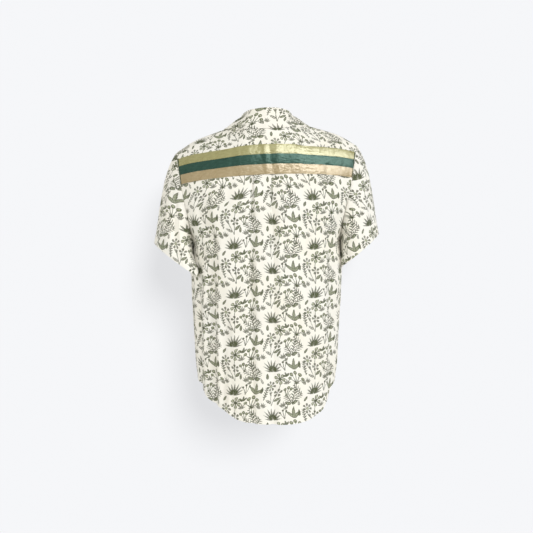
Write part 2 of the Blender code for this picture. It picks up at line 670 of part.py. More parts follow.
def shell(name, outer, inner, outward, closed, material):
    """Closed solid between an outer and an inner grid, with its rims."""
    columns, rows = outer.shape[:2]
    points = np.concatenate((outer.reshape(-1, 3), inner.reshape(-1, 3))) * MM
    index = np.arange(columns * rows).reshape(columns, rows)
    if closed:
        index = np.concatenate((index, index[:1]))
    a, b, c, d = index[:-1, :-1], index[1:, :-1], index[1:, 1:], index[:-1, 1:]
    face = np.stack((a, b, c, a, c, d), axis=-1).reshape(-1, 3)
    deep = columns * rows
    faces = [face, face[:, ::-1] + deep]
    rims = [index[:, 0], index[:, -1][::-1]]
    if not closed:
        rims += [index[0, ::-1], index[-1]]
    for rim in rims:
        near, far = rim[:-1], rim[1:]
        face = np.stack((far, near, near + deep, far, near + deep, far + deep), axis=-1)
        faces.append(face.reshape(-1, 3))
    faces = np.concatenate(faces)
    if outward < 0:
        faces = faces[:, ::-1]
    mesh = bpy.data.meshes.new(name)
    mesh.from_pydata(points.tolist(), [], faces.tolist())
    mesh.materials.append(material)
    mesh.shade_smooth()
    mesh.set_sharp_from_angle(angle=np.radians(50.0))
    piece = bpy.data.objects.new(name, mesh)
    bpy.context.collection.objects.link(piece)
    return piece


def cloth_material(name, colour, roughness):
    material = bpy.data.materials.new(name)
    material.use_nodes = True
    shader = material.node_tree.nodes["Principled BSDF"]
    shader.inputs["Base Color"].default_value = colour
    shader.inputs["Roughness"].default_value = roughness
    shader.inputs["Metallic"].default_value = 0.0
    return material


def wall_piece(name, grid, normals, outward, closed, material):
    """A cloth wall of the usual thickness under a grid of its outer points."""
    by = SLEEVE_GAP if closed else SEAM_GAP / 2
    outer = drawn_in(grid, by, closed)
    inner = drawn_in(grid - normals * WALL, by, closed)
    return shell(name, outer, inner, outward, closed, material)


def ribbon_piece(name, number, yoke, normals, material):
    """A ribbon on the yoke: the yoke's own points, moved out, between two of its rows."""
    rows = slice(number, number + 2)
    grid = yoke[:, rows].copy()
    for end, neighbour in ((0, 1), (-1, -2)):
        way = grid[neighbour] - grid[end]
        way /= np.linalg.norm(way, axis=-1, keepdims=True)
        grid[end] += way * RIBBON_END_INSET
    grid = drawn_in(grid, SEAM_GAP / 2, True)
    under = grid + normals[:, rows] * RIBBON_LIFT
    return shell(name, under + normals[:, rows] * WALL, under, 1.0, False, material)


def button_piece(name, centre, normal, material):
    """A round button that lies flat on the left front, with a slightly smaller face."""
    sides = BUTTON_SIDES
    angle = np.linspace(0.0, 2.0 * np.pi, sides, endpoint=False)
    across = np.cross(normal, (0.0, 0.0, 1.0))
    across /= np.linalg.norm(across)
    upward = np.cross(across, normal)
    circle = np.outer(np.cos(angle), across) + np.outer(np.sin(angle), upward)
    points = np.concatenate([
        centre + circle * BUTTON_RADIUS * wide + normal * (BUTTON_LIFT + BUTTON_THICK * high)
        for wide, high in BUTTON_RINGS])
    faces = [list(range(sides)), list(range(3 * sides - 1, 2 * sides - 1, -1))]
    for ring in range(len(BUTTON_RINGS) - 1):
        for i in range(sides):
            j = (i + 1) % sides
            low = ring * sides
            faces.append([low + j, low + i, low + sides + i, low + sides + j])
    mesh = bpy.data.meshes.new(name)
    mesh.from_pydata((points * MM).tolist(), [], faces)
    mesh.materials.append(material)
    piece = bpy.data.objects.new(name, mesh)
    bpy.context.collection.objects.link(piece)
    return piece


# For each panel: the sign that turns its grid's normals outwards, and whether it is a tube
WINDING = {
    "back": (-1.0, False),
    "yoke": (1.0, False),
    "front_left": (-1.0, False),
    "front_right": (1.0, False),
    "sleeve_left": (1.0, True),
    "sleeve_right": (-1.0, True),
}


def build_shirt():
    cream = cloth_material("cream_cloth", CREAM, 0.85)
    grids = {
        "back": back_grid(),
        "yoke": yoke_grid(),
        "front_left": front_grid(-1.0),
        "front_right": front_grid(1.0),
    }
    for hand, column in (("left", 0), ("right", -1)):
        ring = np.concatenate((
            grids["back"][column][ARMHOLE_ROWS:0:-1],
            grids["yoke"][column][:-1],
            grids["front_" + hand][-1][:FRONT_UPPER_ROWS + FRONT_CHEST_ROWS]))
        grids["sleeve_" + hand] = sleeve_grid(ring, hand)

    panels = [(leaned(grid), *WINDING[name]) for name, grid in grids.items()]
    normals = dict(zip(grids, shared_normals(panels)))
    for name, (grid, outward, closed) in zip(grids, panels):
        grids[name] = grid
        if name == "front_right":
            grid = under_lap(grid, normals[name])
        wall_piece(name, grid, normals[name], outward, closed, cream)

    collar = leaned(collar_grid())
    collar_normals = shared_normals([(collar, 1.0, False)])[0]
    wall_piece("collar", collar, collar_normals, 1.0, False, cream)

    satins = (("ribbon_tan", TAN), ("ribbon_teal", TEAL), ("ribbon_olive", OLIVE))
    for number, (name, colour) in enumerate(satins):
        satin = cloth_material(name.replace("ribbon", "satin"), colour, 0.3)
        ribbon_piece(name, number, grids["yoke"], normals["yoke"], satin)

    pearl = cloth_material("button_shell", SHELL_WHITE, 0.25)
    place_buttons(grids["front_left"][2], normals["front_left"][2], pearl)


def under_lap(grid, normals):
    """The right front goes under the left one: let in by a step near the centre front."""
    near = 1.0 - ease(grid[..., 0], *LAP_STEP_X)
    return grid - normals * (LAP_STEP * near)[..., None]


def place_buttons(line, normals, material):
    """Buttons on the centre front line of the left front, evenly spaced downwards."""
    line, normals = line[::-1], normals[::-1]
    for number in range(BUTTON_COUNT):
        z = BUTTON_TOP_Z - BUTTON_PITCH * number
        centre, normal = (
            np.array([np.interp(z, line[:, 2], values[:, axis]) for axis in range(3)])
            for values in (line, normals))
        normal /= np.linalg.norm(normal)
        button_piece(f"button_{number + 1}", centre, normal, material)


for item in list(bpy.data.objects):
    bpy.data.objects.remove(item, do_unlink=True)
build_shirt()
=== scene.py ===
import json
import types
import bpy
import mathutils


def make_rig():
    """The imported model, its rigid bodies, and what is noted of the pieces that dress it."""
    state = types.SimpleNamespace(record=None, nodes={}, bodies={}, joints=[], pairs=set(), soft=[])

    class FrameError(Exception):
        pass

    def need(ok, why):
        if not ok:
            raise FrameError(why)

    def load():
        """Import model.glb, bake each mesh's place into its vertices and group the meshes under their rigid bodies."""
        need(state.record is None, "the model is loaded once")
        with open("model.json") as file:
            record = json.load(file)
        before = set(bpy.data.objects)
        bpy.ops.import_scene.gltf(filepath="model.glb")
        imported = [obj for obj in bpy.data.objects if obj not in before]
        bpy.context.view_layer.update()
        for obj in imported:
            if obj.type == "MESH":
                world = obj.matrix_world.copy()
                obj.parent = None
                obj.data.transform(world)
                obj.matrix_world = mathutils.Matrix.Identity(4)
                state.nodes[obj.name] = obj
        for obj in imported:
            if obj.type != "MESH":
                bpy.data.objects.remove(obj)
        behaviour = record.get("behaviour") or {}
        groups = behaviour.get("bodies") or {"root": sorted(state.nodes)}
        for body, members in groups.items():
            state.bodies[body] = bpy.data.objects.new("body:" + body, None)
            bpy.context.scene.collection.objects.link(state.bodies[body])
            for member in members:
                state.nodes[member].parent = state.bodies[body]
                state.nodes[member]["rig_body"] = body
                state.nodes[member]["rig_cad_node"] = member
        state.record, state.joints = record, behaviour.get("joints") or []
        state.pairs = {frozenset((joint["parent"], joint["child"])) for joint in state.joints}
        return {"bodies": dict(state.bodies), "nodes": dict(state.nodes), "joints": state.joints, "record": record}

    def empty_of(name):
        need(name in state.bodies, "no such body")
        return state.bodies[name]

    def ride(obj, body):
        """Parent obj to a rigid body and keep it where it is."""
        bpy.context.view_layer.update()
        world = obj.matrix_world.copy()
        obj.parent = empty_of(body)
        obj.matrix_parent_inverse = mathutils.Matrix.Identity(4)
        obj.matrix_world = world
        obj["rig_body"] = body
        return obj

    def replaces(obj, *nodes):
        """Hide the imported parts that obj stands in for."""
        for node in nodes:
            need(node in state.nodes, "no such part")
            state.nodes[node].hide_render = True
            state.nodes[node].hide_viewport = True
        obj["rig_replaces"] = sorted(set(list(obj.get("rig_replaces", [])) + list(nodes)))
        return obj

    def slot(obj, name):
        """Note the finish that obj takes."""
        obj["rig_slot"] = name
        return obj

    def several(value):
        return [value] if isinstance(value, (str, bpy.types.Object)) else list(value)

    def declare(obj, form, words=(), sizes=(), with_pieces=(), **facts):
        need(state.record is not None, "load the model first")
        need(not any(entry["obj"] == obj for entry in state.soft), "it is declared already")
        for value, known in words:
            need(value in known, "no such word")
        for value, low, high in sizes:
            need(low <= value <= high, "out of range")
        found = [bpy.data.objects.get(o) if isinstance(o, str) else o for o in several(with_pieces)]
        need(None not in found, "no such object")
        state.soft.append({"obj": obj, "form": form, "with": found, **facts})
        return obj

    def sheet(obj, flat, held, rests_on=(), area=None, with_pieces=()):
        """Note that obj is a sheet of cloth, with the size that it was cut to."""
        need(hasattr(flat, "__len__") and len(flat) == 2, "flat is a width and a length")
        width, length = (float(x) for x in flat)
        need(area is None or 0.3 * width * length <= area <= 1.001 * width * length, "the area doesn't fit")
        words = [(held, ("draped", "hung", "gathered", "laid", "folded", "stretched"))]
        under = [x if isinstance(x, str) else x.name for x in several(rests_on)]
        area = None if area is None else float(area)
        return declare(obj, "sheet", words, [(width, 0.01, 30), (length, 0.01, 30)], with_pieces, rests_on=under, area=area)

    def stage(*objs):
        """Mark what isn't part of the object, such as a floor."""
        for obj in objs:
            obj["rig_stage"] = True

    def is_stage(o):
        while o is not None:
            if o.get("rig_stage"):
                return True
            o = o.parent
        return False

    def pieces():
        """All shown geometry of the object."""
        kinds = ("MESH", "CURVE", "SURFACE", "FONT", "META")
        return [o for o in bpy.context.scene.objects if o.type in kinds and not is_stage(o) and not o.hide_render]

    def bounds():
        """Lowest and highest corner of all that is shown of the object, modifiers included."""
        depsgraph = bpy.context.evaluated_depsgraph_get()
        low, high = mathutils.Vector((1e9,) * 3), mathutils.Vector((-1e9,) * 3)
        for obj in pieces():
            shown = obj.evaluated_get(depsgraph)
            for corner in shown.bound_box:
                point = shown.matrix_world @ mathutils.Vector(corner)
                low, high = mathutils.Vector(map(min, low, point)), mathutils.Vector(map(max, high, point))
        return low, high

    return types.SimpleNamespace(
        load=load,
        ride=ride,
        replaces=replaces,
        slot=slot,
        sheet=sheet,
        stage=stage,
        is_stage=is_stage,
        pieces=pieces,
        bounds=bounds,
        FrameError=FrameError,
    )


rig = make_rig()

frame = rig.load()

import json

import bpy
import numpy as np

# Ribbon shirt, seen from behind and filled out as if worn, in metres with +Z up. Its back faces
# -Y and the wearer's right is +X. Every cloth panel is a surface worked out in millimetres, from
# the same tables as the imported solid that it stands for, but many times finer.
cad_low, cad_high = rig.bounds()
MM = 0.001


# ---- Studio ----
# A pale sheet of paper hangs close behind the shirt and runs out over the floor in one curve. It
# shows from its front only and throws no light back, so that the shirt is lit evenly all round.
# One sun casts the shirt's shadow on it, four light the shirt, and a window shows in its gloss.
WALL_Y = 165.0
FLOOR_Z = -1750.0
FLOOR_BEND = 300.0
PAPER_REACH = 6000.0
PAPER_WHITE = (0.9614, 0.9711, 1.0, 1.0)
PAPER_GLOW = 0.707
ROOM_TINT = (1.0, 0.985, 0.935, 1.0)
ROOM_LIGHT = 0.49
FAR_WALLS = (0.905, 0.912, 0.93, 1.0)
WINDOW_SHAPE = 3.0
CAMERA_PLACE = (0.0, -1.38, -0.333)
CAMERA_SENSOR = 36.0
CAMERA_LENS = 35.78


def grid_faces(columns, rows, closed=False):
    """Corner numbers of a grid's quads: each quad joins two neighbours of a column and a row."""
    index = np.arange(columns * rows).reshape(columns, rows)
    if closed:
        index = np.concatenate((index, index[:1]))
    a, b, c, d = index[:-1, :-1], index[1:, :-1], index[1:, 1:], index[:-1, 1:]
    return np.stack((a, b, c, d), axis=-1).reshape(-1, 4)


def new_piece(name, points, faces, material):
    """A smooth piece at the origin, from its points in millimetres and its faces' corners."""
    mesh = bpy.data.meshes.new(name)
    mesh.from_pydata((points.reshape(-1, 3) * MM).tolist(), [], faces)
    mesh.materials.append(material)
    mesh.shade_smooth()
    piece = bpy.data.objects.new(name, mesh)
    bpy.context.collection.objects.link(piece)
    return piece


def new_material(name, colour, roughness):
    """A material of one colour, with its node tree and its shader for more."""
    material = bpy.data.materials.new(name)
    material.use_nodes = True
    shader = material.node_tree.nodes["Principled BSDF"]
    shader.inputs["Base Color"].default_value = colour
    shader.inputs["Roughness"].default_value = roughness
    return material, material.node_tree, shader


def one_of_two(tree, which, first, second, output):
    """Sends the first shader to the output where which is 0, and the second where it is 1."""
    either = tree.nodes.new("ShaderNodeMixShader")
    for socket, source in zip(either.inputs, (which, first, second)):
        tree.links.new(source, socket)
    tree.links.new(either.outputs[0], tree.nodes[output].inputs["Surface"])


paper, tree, shader = new_material("studio_paper", (0.12, 0.121, 0.122, 1.0), 0.95)
shader.inputs["Specular IOR Level"].default_value = 0.0
shader.inputs["Emission Color"].default_value = PAPER_WHITE
shader.inputs["Emission Strength"].default_value = PAPER_GLOW
behind = tree.nodes.new("ShaderNodeNewGeometry").outputs["Backfacing"]
see_through = tree.nodes.new("ShaderNodeBsdfTransparent").outputs[0]
one_of_two(tree, behind, shader.outputs[0], see_through, "Material Output")

bend = np.radians(np.linspace(0.0, 90.0, 25))
paper_y = np.concatenate((
    [WALL_Y], WALL_Y - FLOOR_BEND * (1.0 - np.cos(bend)), [-PAPER_REACH]))
paper_z = np.concatenate((
    [PAPER_REACH / 2], FLOOR_Z + FLOOR_BEND * (1.0 - np.sin(bend)), [FLOOR_Z]))
paper_x = np.linspace(-PAPER_REACH, PAPER_REACH, 9)
paper_points = np.stack(np.broadcast_arrays(
    paper_x[:, None], paper_y[None], paper_z[None]), axis=-1)
backdrop = new_piece("studio_backdrop", paper_points,
                     grid_faces(len(paper_x), len(paper_y))[:, ::-1].tolist(), paper)
backdrop.visible_diffuse = False
backdrop.visible_glossy = False
backdrop.visible_shadow = False
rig.stage(backdrop)

# The room's far walls look as pale as the paper, but give the shirt less light than they show
world = bpy.data.worlds.new("studio_light")
world.use_nodes = True
bpy.context.scene.world = world
tree = world.node_tree
light = tree.nodes["Background"]
light.inputs["Color"].default_value = ROOM_TINT
light.inputs["Strength"].default_value = ROOM_LIGHT
walls = tree.nodes.new("ShaderNodeBackground")
walls.inputs["Color"].default_value = FAR_WALLS
seen = tree.nodes.new("ShaderNodeLightPath").outputs["Is Camera Ray"]
one_of_two(tree, seen, light.outputs[0], walls.outputs[0], "World Output")
middle_of_room = bpy.data.objects.new("middle_of_room", None)
bpy.context.collection.objects.link(middle_of_room)

# Each lamp: its name, kind, place (metres), energy, softness (a sun's degrees or the window's
# height), tint, and whether it lights the paper or all but the paper
for name, kind, place, energy, size, tint, lights in (
        ("shadow_sun", "SUN", (0.42, -1.0, 0.48), 5.6, 26.0, (1.0, 1.0, 1.0), "INCLUDE"),
        ("sun_right", "SUN", (0.78, -0.60, 0.22), 1.34, 25.0, (0.98, 0.99, 1.0), "EXCLUDE"),
        ("sun_left", "SUN", (-0.78, -0.60, 0.22), 0.78, 25.0, (1.0, 0.985, 0.93), "EXCLUDE"),
        ("sun_front", "SUN", (0.12, -1.0, 0.05), 0.60, 25.0, (1.0, 1.0, 1.0), "EXCLUDE"),
        ("sun_beyond", "SUN", (-0.45, 1.0, 0.25), 1.55, 25.0, (1.0, 0.99, 0.98), "EXCLUDE"),
        ("window", "AREA", (1.16, -1.32, 1.45), 74.0, 1.0, (0.97, 0.985, 1.0), "EXCLUDE")):
    lamp = bpy.data.objects.new(name, bpy.data.lights.new(name, kind))
    lamp.data.energy = energy
    lamp.data.color = tint
    if kind == "SUN":
        lamp.data.angle = np.radians(size)
        lamp.visible_glossy = False
    else:
        lamp.data.shape = "RECTANGLE"
        lamp.data.size, lamp.data.size_y = WINDOW_SHAPE * size, size
        lamp.visible_diffuse = False
    lit = bpy.data.collections.new("lit_by_" + name)
    lit.objects.link(backdrop)
    lit.collection_objects[0].light_linking.link_state = lights
    lamp.light_linking.receiver_collection = lit
    lamp.location = place
    aim = lamp.constraints.new("TRACK_TO")
    aim.track_axis, aim.up_axis = "TRACK_NEGATIVE_Z", "UP_Y"
    aim.target = middle_of_room
    bpy.context.collection.objects.link(lamp)

camera = bpy.data.objects.new("camera", bpy.data.cameras.new("camera"))
camera.location = CAMERA_PLACE
camera.rotation_euler = (np.radians(90.0), 0.0, 0.0)
camera.data.sensor_width = CAMERA_SENSOR
camera.data.lens = CAMERA_LENS
camera.data.clip_start = 0.05
bpy.context.collection.objects.link(camera)
bpy.context.scene.camera = camera
bpy.context.scene.view_settings.view_transform = "Standard"


# ---- Printed cloth ----
# Light plain-woven cotton in cream, printed in dark and pale sage with a garden of spiky rosettes,
# ferns, daisies, seed heads and broad leaves, whose repeat drops by half in every other column.
# The print has gone through faintly to the reverse.
REPEAT_WIDE = 104.0
REPEAT_HIGH = 117.0
DRIFT_WIDE = 6.0
DRIFT_HIGH = 4.0
INK_EDGE = 0.35
OUTLINE = 1.8
WOBBLES = 260.0
WOBBLE = 1.8


class Number:
    """A number inside a node tree, so that a pattern's formula is written as it reads."""

    def __init__(self, tree, socket):
        self.tree = tree
        self.socket = socket

    def made(self, operation, *others, clamp=False):
        """The number that a Math node makes of this one and the others."""
        node = self.tree.nodes.new("ShaderNodeMath")
        node.operation = operation
        node.use_clamp = clamp
        fill(node, (self, *others))
        return Number(self.tree, node.outputs[0])

    def __add__(self, other):
        return self.made("ADD", other)

    def __sub__(self, other):
        return self.made("SUBTRACT", other)

    def __mul__(self, other):
        return self.made("MULTIPLY", other)

    def __truediv__(self, other):
        return self.made("DIVIDE", other)

    def __pow__(self, other):
        return self.made("POWER", other)

    def __abs__(self):
        return self.made("ABSOLUTE")

    def least(self, other):
        """The smaller of the two."""
        return self.made("MINIMUM", other)

    def most(self, other):
        """The greater of the two."""
        return self.made("MAXIMUM", other)

    def rest_of(self, whole):
        """The whole less this number."""
        return self.made("MULTIPLY_ADD", -1.0, whole)

    def between(self, low, high):
        """0 at the low end, 1 at the high one, and held there beyond them."""
        return self.made("MULTIPLY_ADD", 1.0 / (high - low), -low / (high - low), clamp=True)

    def off_line(self, pitch):
        """How far this is from the nearest of the lines that are one pitch apart."""
        return abs((self / pitch + 0.5).made("FRACT") - 0.5) * pitch

    def inked(self):
        """Full ink where this is above nought by the ink's soft edge."""
        return self.between(0.0, INK_EDGE)

    def outlined(self):
        """Ink in a line just inside the edge of a shape, where this is the way in from it."""
        return self.least(self.rest_of(OUTLINE)).inked()


def hypotenuse(x, y):
    """How far a place is from nought: the root of the sum of both squares."""
    return (x * x + y * y).made("SQRT")


def new_group(name, inputs, outputs):
    """An empty node group: its named inputs with their values, and its named outputs. An input
    with no value is a vector."""
    group = bpy.data.node_groups.new(name, "ShaderNodeTree")
    for label, value in inputs.items():
        kind = "NodeSocketVector" if value is None else "NodeSocketFloat"
        socket = group.interface.new_socket(label, in_out="INPUT", socket_type=kind)
        if value is not None:
            socket.default_value = value
    for label in outputs:
        group.interface.new_socket(label, in_out="OUTPUT", socket_type="NodeSocketFloat")
    start = group.nodes.new("NodeGroupInput")
    end = group.nodes.new("NodeGroupOutput")
    return group, [Number(group, start.outputs[label]) for label in inputs], end.inputs


def send(number, socket):
    """Links a number to a socket."""
    number.tree.links.new(number.socket, socket)


def fill(node, values):
    """Gives a node's inputs their values in order: a number is linked, and the rest is set."""
    for socket, value in zip(node.inputs, values):
        if isinstance(value, Number):
            send(value, socket)
        else:
            socket.default_value = value


def parts_of(tree, vector):
    """X and Y of a vector socket."""
    node = tree.nodes.new("ShaderNodeSeparateXYZ")
    tree.links.new(vector, node.inputs[0])
    return Number(tree, node.outputs[0]), Number(tree, node.outputs[1])


def noise_of(tree, place, per_metre, detail=2.0, flat=False):
    """A soft noise with so many patches to a metre. Flat noise heeds X and Y alone."""
    node = tree.nodes.new("ShaderNodeTexNoise")
    if flat:
        node.noise_dimensions = "2D"
    node.inputs["Scale"].default_value = per_metre
    node.inputs["Detail"].default_value = detail
    tree.links.new(place, node.inputs["Vector"])
    return node.outputs


def patches(tree, place, per_metre, detail=2.0):
    """A soft noise from 0 to 1, with so many patches to a metre."""
    return Number(tree, noise_of(tree, place, per_metre, detail)[0])


def drawn_out(tree, place, along, across, flat=False):
    """A soft noise with so many patches to a metre along the cloth, and so many across it."""
    stretch = tree.nodes.new("ShaderNodeVectorMath")
    stretch.operation = "MULTIPLY"
    stretch.inputs[1].default_value = (along, across, 1.0)
    tree.links.new(place, stretch.inputs[0])
    return Number(tree, noise_of(tree, stretch.outputs[0], 1.0, flat=flat)[0])


# Stalks that spread from one root. It turns a place, in millimetres from the root, into one
# beside the nearest stalk: across it, and along it from the root. Stalk number n leans by n
# pitches, more so further out by the arch, and is shorter by n squared times the shortening.
SPRAY, (x, y, pitch, each_side, arch, shorten), out = new_group(
    "spray", {"Across": 0.0, "Along": 0.0, "Pitch": 0.3, "Each Side": 3.0, "Arch": 0.0,
              "Shorten": 0.0}, ("Across", "Along"))
far = hypotenuse(x, y)
opened = arch * far + 1.0
angle = x.made("ARCTAN2", y) / opened
number = (angle / pitch + 0.5).made("FLOOR").least(each_side).most(each_side * -1.0)
turn = (angle - number * pitch) * opened
size = (number * number * shorten).rest_of(1.0)
send(far * turn.made("SINE") / size, out["Across"])
send(far * turn.made("COSINE") / size, out["Along"])

# A blade or petal: its half width is its width times a power of the share of its length that
# lies behind and a power of the share that lies ahead. A rib down its middle is left bare.
BLADE, (x, y, length, width, root, tip, rib), out = new_group(
    "blade", {"Across": 0.0, "Along": 0.0, "Length": 10.0, "Width": 4.0, "Root": 0.5,
              "Tip": 1.0, "Rib": 0.0}, ("Ink", "Outline"))
side = abs(x)
share = y / length
inside = (share ** root) * (share.rest_of(1.0) ** tip) * width - side
send(inside.least(side - rib * share.rest_of(1.0)).inked(), out["Ink"])
send(inside.outlined(), out["Outline"])

# A stem with leaflets to both sides in turn. A leaflet leaves the stem at a slant, its length
# follows a half round from the stem's foot to its tip, and it is a blade itself.
FROND, (x, y, length, reach, spacing, slant, width, bend), out = new_group(
    "frond", {"Across": 0.0, "Along": 0.0, "Length": 30.0, "Reach": 8.0, "Spacing": 3.0,
              "Slant": 0.6, "Width": 2.5, "Bend": 0.0}, ("Ink",))
x = x - y * y * bend
side = abs(x)
foot = y - side * slant
up = foot / length
leaflet_length = (up * up.rest_of(1.0) * 4.0).most(0.0).made("SQRT") * reach
share = side / leaflet_length
staggered = foot + x.made("GREATER_THAN", 0.0) * spacing * 0.5
leaflet = (share ** 0.4) * (share.rest_of(1.0) ** 0.7) * width - staggered.off_line(spacing)
stem = side.rest_of(1.0).least(y).least(length - y)
send(leaflet.inked().most(stem.inked()), out["Ink"])

# A broad leaf, with its midrib and slanting veins left in the cloth's colour
LEAF, (x, y, length, width, veins), out = new_group(
    "leaf", {"Across": 0.0, "Along": 0.0, "Length": 20.0, "Width": 5.0, "Veins": 2.6},
    ("Ink", "Outline"))
side = abs(x)
share = y / length
inside = (share ** 0.6) * (share.rest_of(1.0) ** 0.8) * width - side
vein = (y - side * 0.9).off_line(veins).rest_of(0.6).most(side.rest_of(0.6))
send(inside.inked() * (vein.inked() * 0.9).rest_of(1.0), out["Ink"])
send(inside.outlined().most(vein.least(inside).inked()), out["Outline"])

# A thin stem with a round seed, bud or disc at its end
SEED, (x, y, length, radius), out = new_group(
    "seed", {"Across": 0.0, "Along": 0.0, "Length": 20.0, "Radius": 1.5}, ("Ink", "Outline"))
inside = radius - hypotenuse(x, y - length)
stem = abs(x).rest_of(0.85).least(y).least(length - y)
send(inside.inked().most(stem.inked()), out["Ink"])
send(inside.outlined().most(stem.inked()), out["Outline"])

# One repeat. Columns: shape, its inks (pale, dark, or both for pale in a dark outline), x and y
# of its root (mm from the middle of the repeat), turn (degrees), the spray that it stands in
# (pitch, stalks to each side, arch, shortening) or nothing, and its group's values in their order.
MOTIFS = (
    (BLADE, "dark", -24.0, -54.0, 0.0, (0.34, 4.0, 0.004, 0.016), (31.0, 7.7, 0.7, 1.0, 0.0)),
    (BLADE, "pale", -24.0, -53.0, 0.0, (0.34, 3.0, 0.004, 0.016), (15.0, 10.4, 0.6, 0.8, 0.0)),
    (FROND, "dark", 27.0, -22.0, 2.0, (0.62, 1.0, 0.004, 0.10), (36.0, 9.5, 6.4, 0.7, 3.1, 0.0)),
    (LEAF, "both", 27.0, -23.0, -62.0, None, (17.0, 9.9, 5.6)),
    (LEAF, "both", 24.0, -23.0, 64.0, None, (16.0, 9.9, 5.6)),
    (BLADE, "dark", -36.0, 28.0, 12.0, (0.8976, 3.0, 0.0, 0.0), (12.5, 8.6, 1.9, 0.45, 0.0)),
    (SEED, "pale", -36.0, 28.0, 0.0, None, (0.0, 3.8)),
    (BLADE, "both", -12.0, 44.0, 4.0, (1.0472, 3.0, 0.0, 0.0), (14.0, 13.3, 1.7, 0.5, 0.0)),
    (SEED, "dark", -12.0, 44.0, 0.0, None, (0.0, 4.0)),
    (BLADE, "dark", -15.0, 11.0, 0.0, (1.2566, 2.0, 0.0, 0.0), (10.0, 10.0, 1.7, 0.5, 0.0)),
    (SEED, "dark", -24.0, -20.0, 17.0, None, (32.0, 0.0)),
    (SEED, "dark", -24.0, -20.0, -13.0, None, (52.0, 0.0)),
    (LEAF, "dark", -26.0, -13.0, 66.0, None, (19.0, 8.4, 5.2)),
    (LEAF, "both", -20.0, -9.0, -60.0, None, (18.0, 8.8, 5.6)),
    (BLADE, "dark", -29.0, 4.0, 44.0, None, (15.0, 5.1, 0.6, 1.0, 0.0)),
    (SEED, "both", 28.0, 24.0, -3.0, (0.36, 2.0, 0.006, 0.05), (28.0, 4.7)),
    (BLADE, "dark", 28.0, 24.0, 0.0, (0.50, 2.0, 0.02, 0.08), (15.0, 5.3, 0.8, 1.0, 0.0)),
    (LEAF, "both", 30.0, -57.0, -4.0, (0.66, 1.0, 0.010, 0.10), (28.0, 11.0, 6.4)),
    (BLADE, "dark", 5.0, -27.0, 0.0, (0.34, 2.0, 0.02, 0.04), (17.0, 5.1, 0.6, 1.0, 0.0)),
    (BLADE, "dark", -46.0, -27.0, 0.0, (0.34, 2.0, 0.02, 0.05), (15.0, 4.9, 0.6, 1.0, 0.0)),
    (FROND, "dark", 47.0, 1.0, 62.0, None, (34.0, 10.0, 6.6, 0.6, 3.2, 0.006)),
    (BLADE, "dark", 48.0, 26.0, 0.0, (0.36, 2.0, 0.02, 0.05), (16.0, 4.9, 0.6, 1.0, 0.0)),
    (SEED, "dark", 6.0, -56.0, 2.0, (0.34, 1.0, 0.010, 0.08), (22.0, 2.9)),
    (SEED, "both", 6.0, -2.0, -6.0, (0.36, 1.0, 0.010, 0.08), (20.0, 4.0)),
    (LEAF, "dark", 47.0, -28.0, 16.0, None, (15.0, 7.0, 4.8)),
    (LEAF, "both", -46.0, 44.0, -20.0, None, (15.0, 7.7, 5.0)),
    (BLADE, "dark", 4.0, 27.0, 0.0, (0.5, 2.0, 0.01, 0.05), (15.0, 5.8, 0.8, 1.0, 0.0)),
    (LEAF, "both", 6.0, 46.0, 8.0, (0.9, 1.0, 0.0, 0.1), (12.0, 6.6, 5.0)),
    (FROND, "dark", -48.0, -8.0, -3.0, None, (33.0, 6.0, 5.6, 0.7, 3.1, 0.0)),
    (LEAF, "both", -9.0, -18.0, -18.0, None, (15.0, 7.7, 5.0)),
    (BLADE, "dark", 15.0, -33.0, 30.0, (0.7, 1.0, 0.0, 0.1), (11.0, 5.3, 0.7, 0.8, 0.0)),
    (LEAF, "both", 45.0, -52.0, -6.0, None, (17.0, 8.1, 5.2)),
    (BLADE, "dark", -33.0, 8.0, 6.0, (0.6, 1.0, 0.0, 0.1), (9.0, 4.6, 0.7, 0.8, 0.0)),
)

# The cloth's place is folded back into one repeat, with every other column dropped by half. It
# drifts in long waves first, so that no straight gaps show, and wobbles finely for the ink's edge.
PRINT, (place,), out = new_group("garden_print", {"Cloth": None}, ("Dark", "Pale"))
x, y = parts_of(PRINT, place.socket)
x, y = x * 1000.0, y * 1000.0
drifted_x = x + (y * (2.0 * np.pi / REPEAT_HIGH)).made("SINE") * DRIFT_WIDE
drifted_y = y + (x * (2.0 * np.pi / REPEAT_WIDE)).made("SINE") * DRIFT_HIGH
across = drifted_x / REPEAT_WIDE
column = across.made("FLOOR")
cell = PRINT.nodes.new("ShaderNodeCombineXYZ")
send((across - column - 0.5) * REPEAT_WIDE, cell.inputs[0])
send(((drifted_y / REPEAT_HIGH + column * 0.5).made("FRACT") - 0.5) * REPEAT_HIGH, cell.inputs[1])
wobble = noise_of(PRINT, place.socket, WOBBLES, 1.0, flat=True)["Color"]
moved = PRINT.nodes.new("ShaderNodeVectorMath")
moved.operation = "MULTIPLY_ADD"
moved.inputs[1].default_value = (WOBBLE, WOBBLE, 0.0)
PRINT.links.new(wobble, moved.inputs[0])
PRINT.links.new(cell.outputs[0], moved.inputs[2])
inks = {"pale": None, "dark": None}
for shape, kind, root_x, root_y, turn, spray, values in MOTIFS:
    local = PRINT.nodes.new("ShaderNodeMapping")
    local.vector_type = "TEXTURE"
    local.inputs["Location"].default_value = (root_x + WOBBLE / 2, root_y + WOBBLE / 2, 0.0)
    local.inputs["Rotation"].default_value = (0.0, 0.0, np.radians(turn))
    PRINT.links.new(moved.outputs[0], local.inputs["Vector"])
    beside = parts_of(PRINT, local.outputs[0])
    for group, settings in ((SPRAY, spray), (shape, values)):
        if settings:
            node = PRINT.nodes.new("ShaderNodeGroup")
            node.node_tree = group
            fill(node, (*beside, *settings))
            beside = [Number(PRINT, socket) for socket in node.outputs]
    layers = zip(("pale", "dark"), beside) if kind == "both" else ((kind, beside[0]),)
    for label, ink in layers:
        inks[label] = inks[label].most(ink) if inks[label] else ink
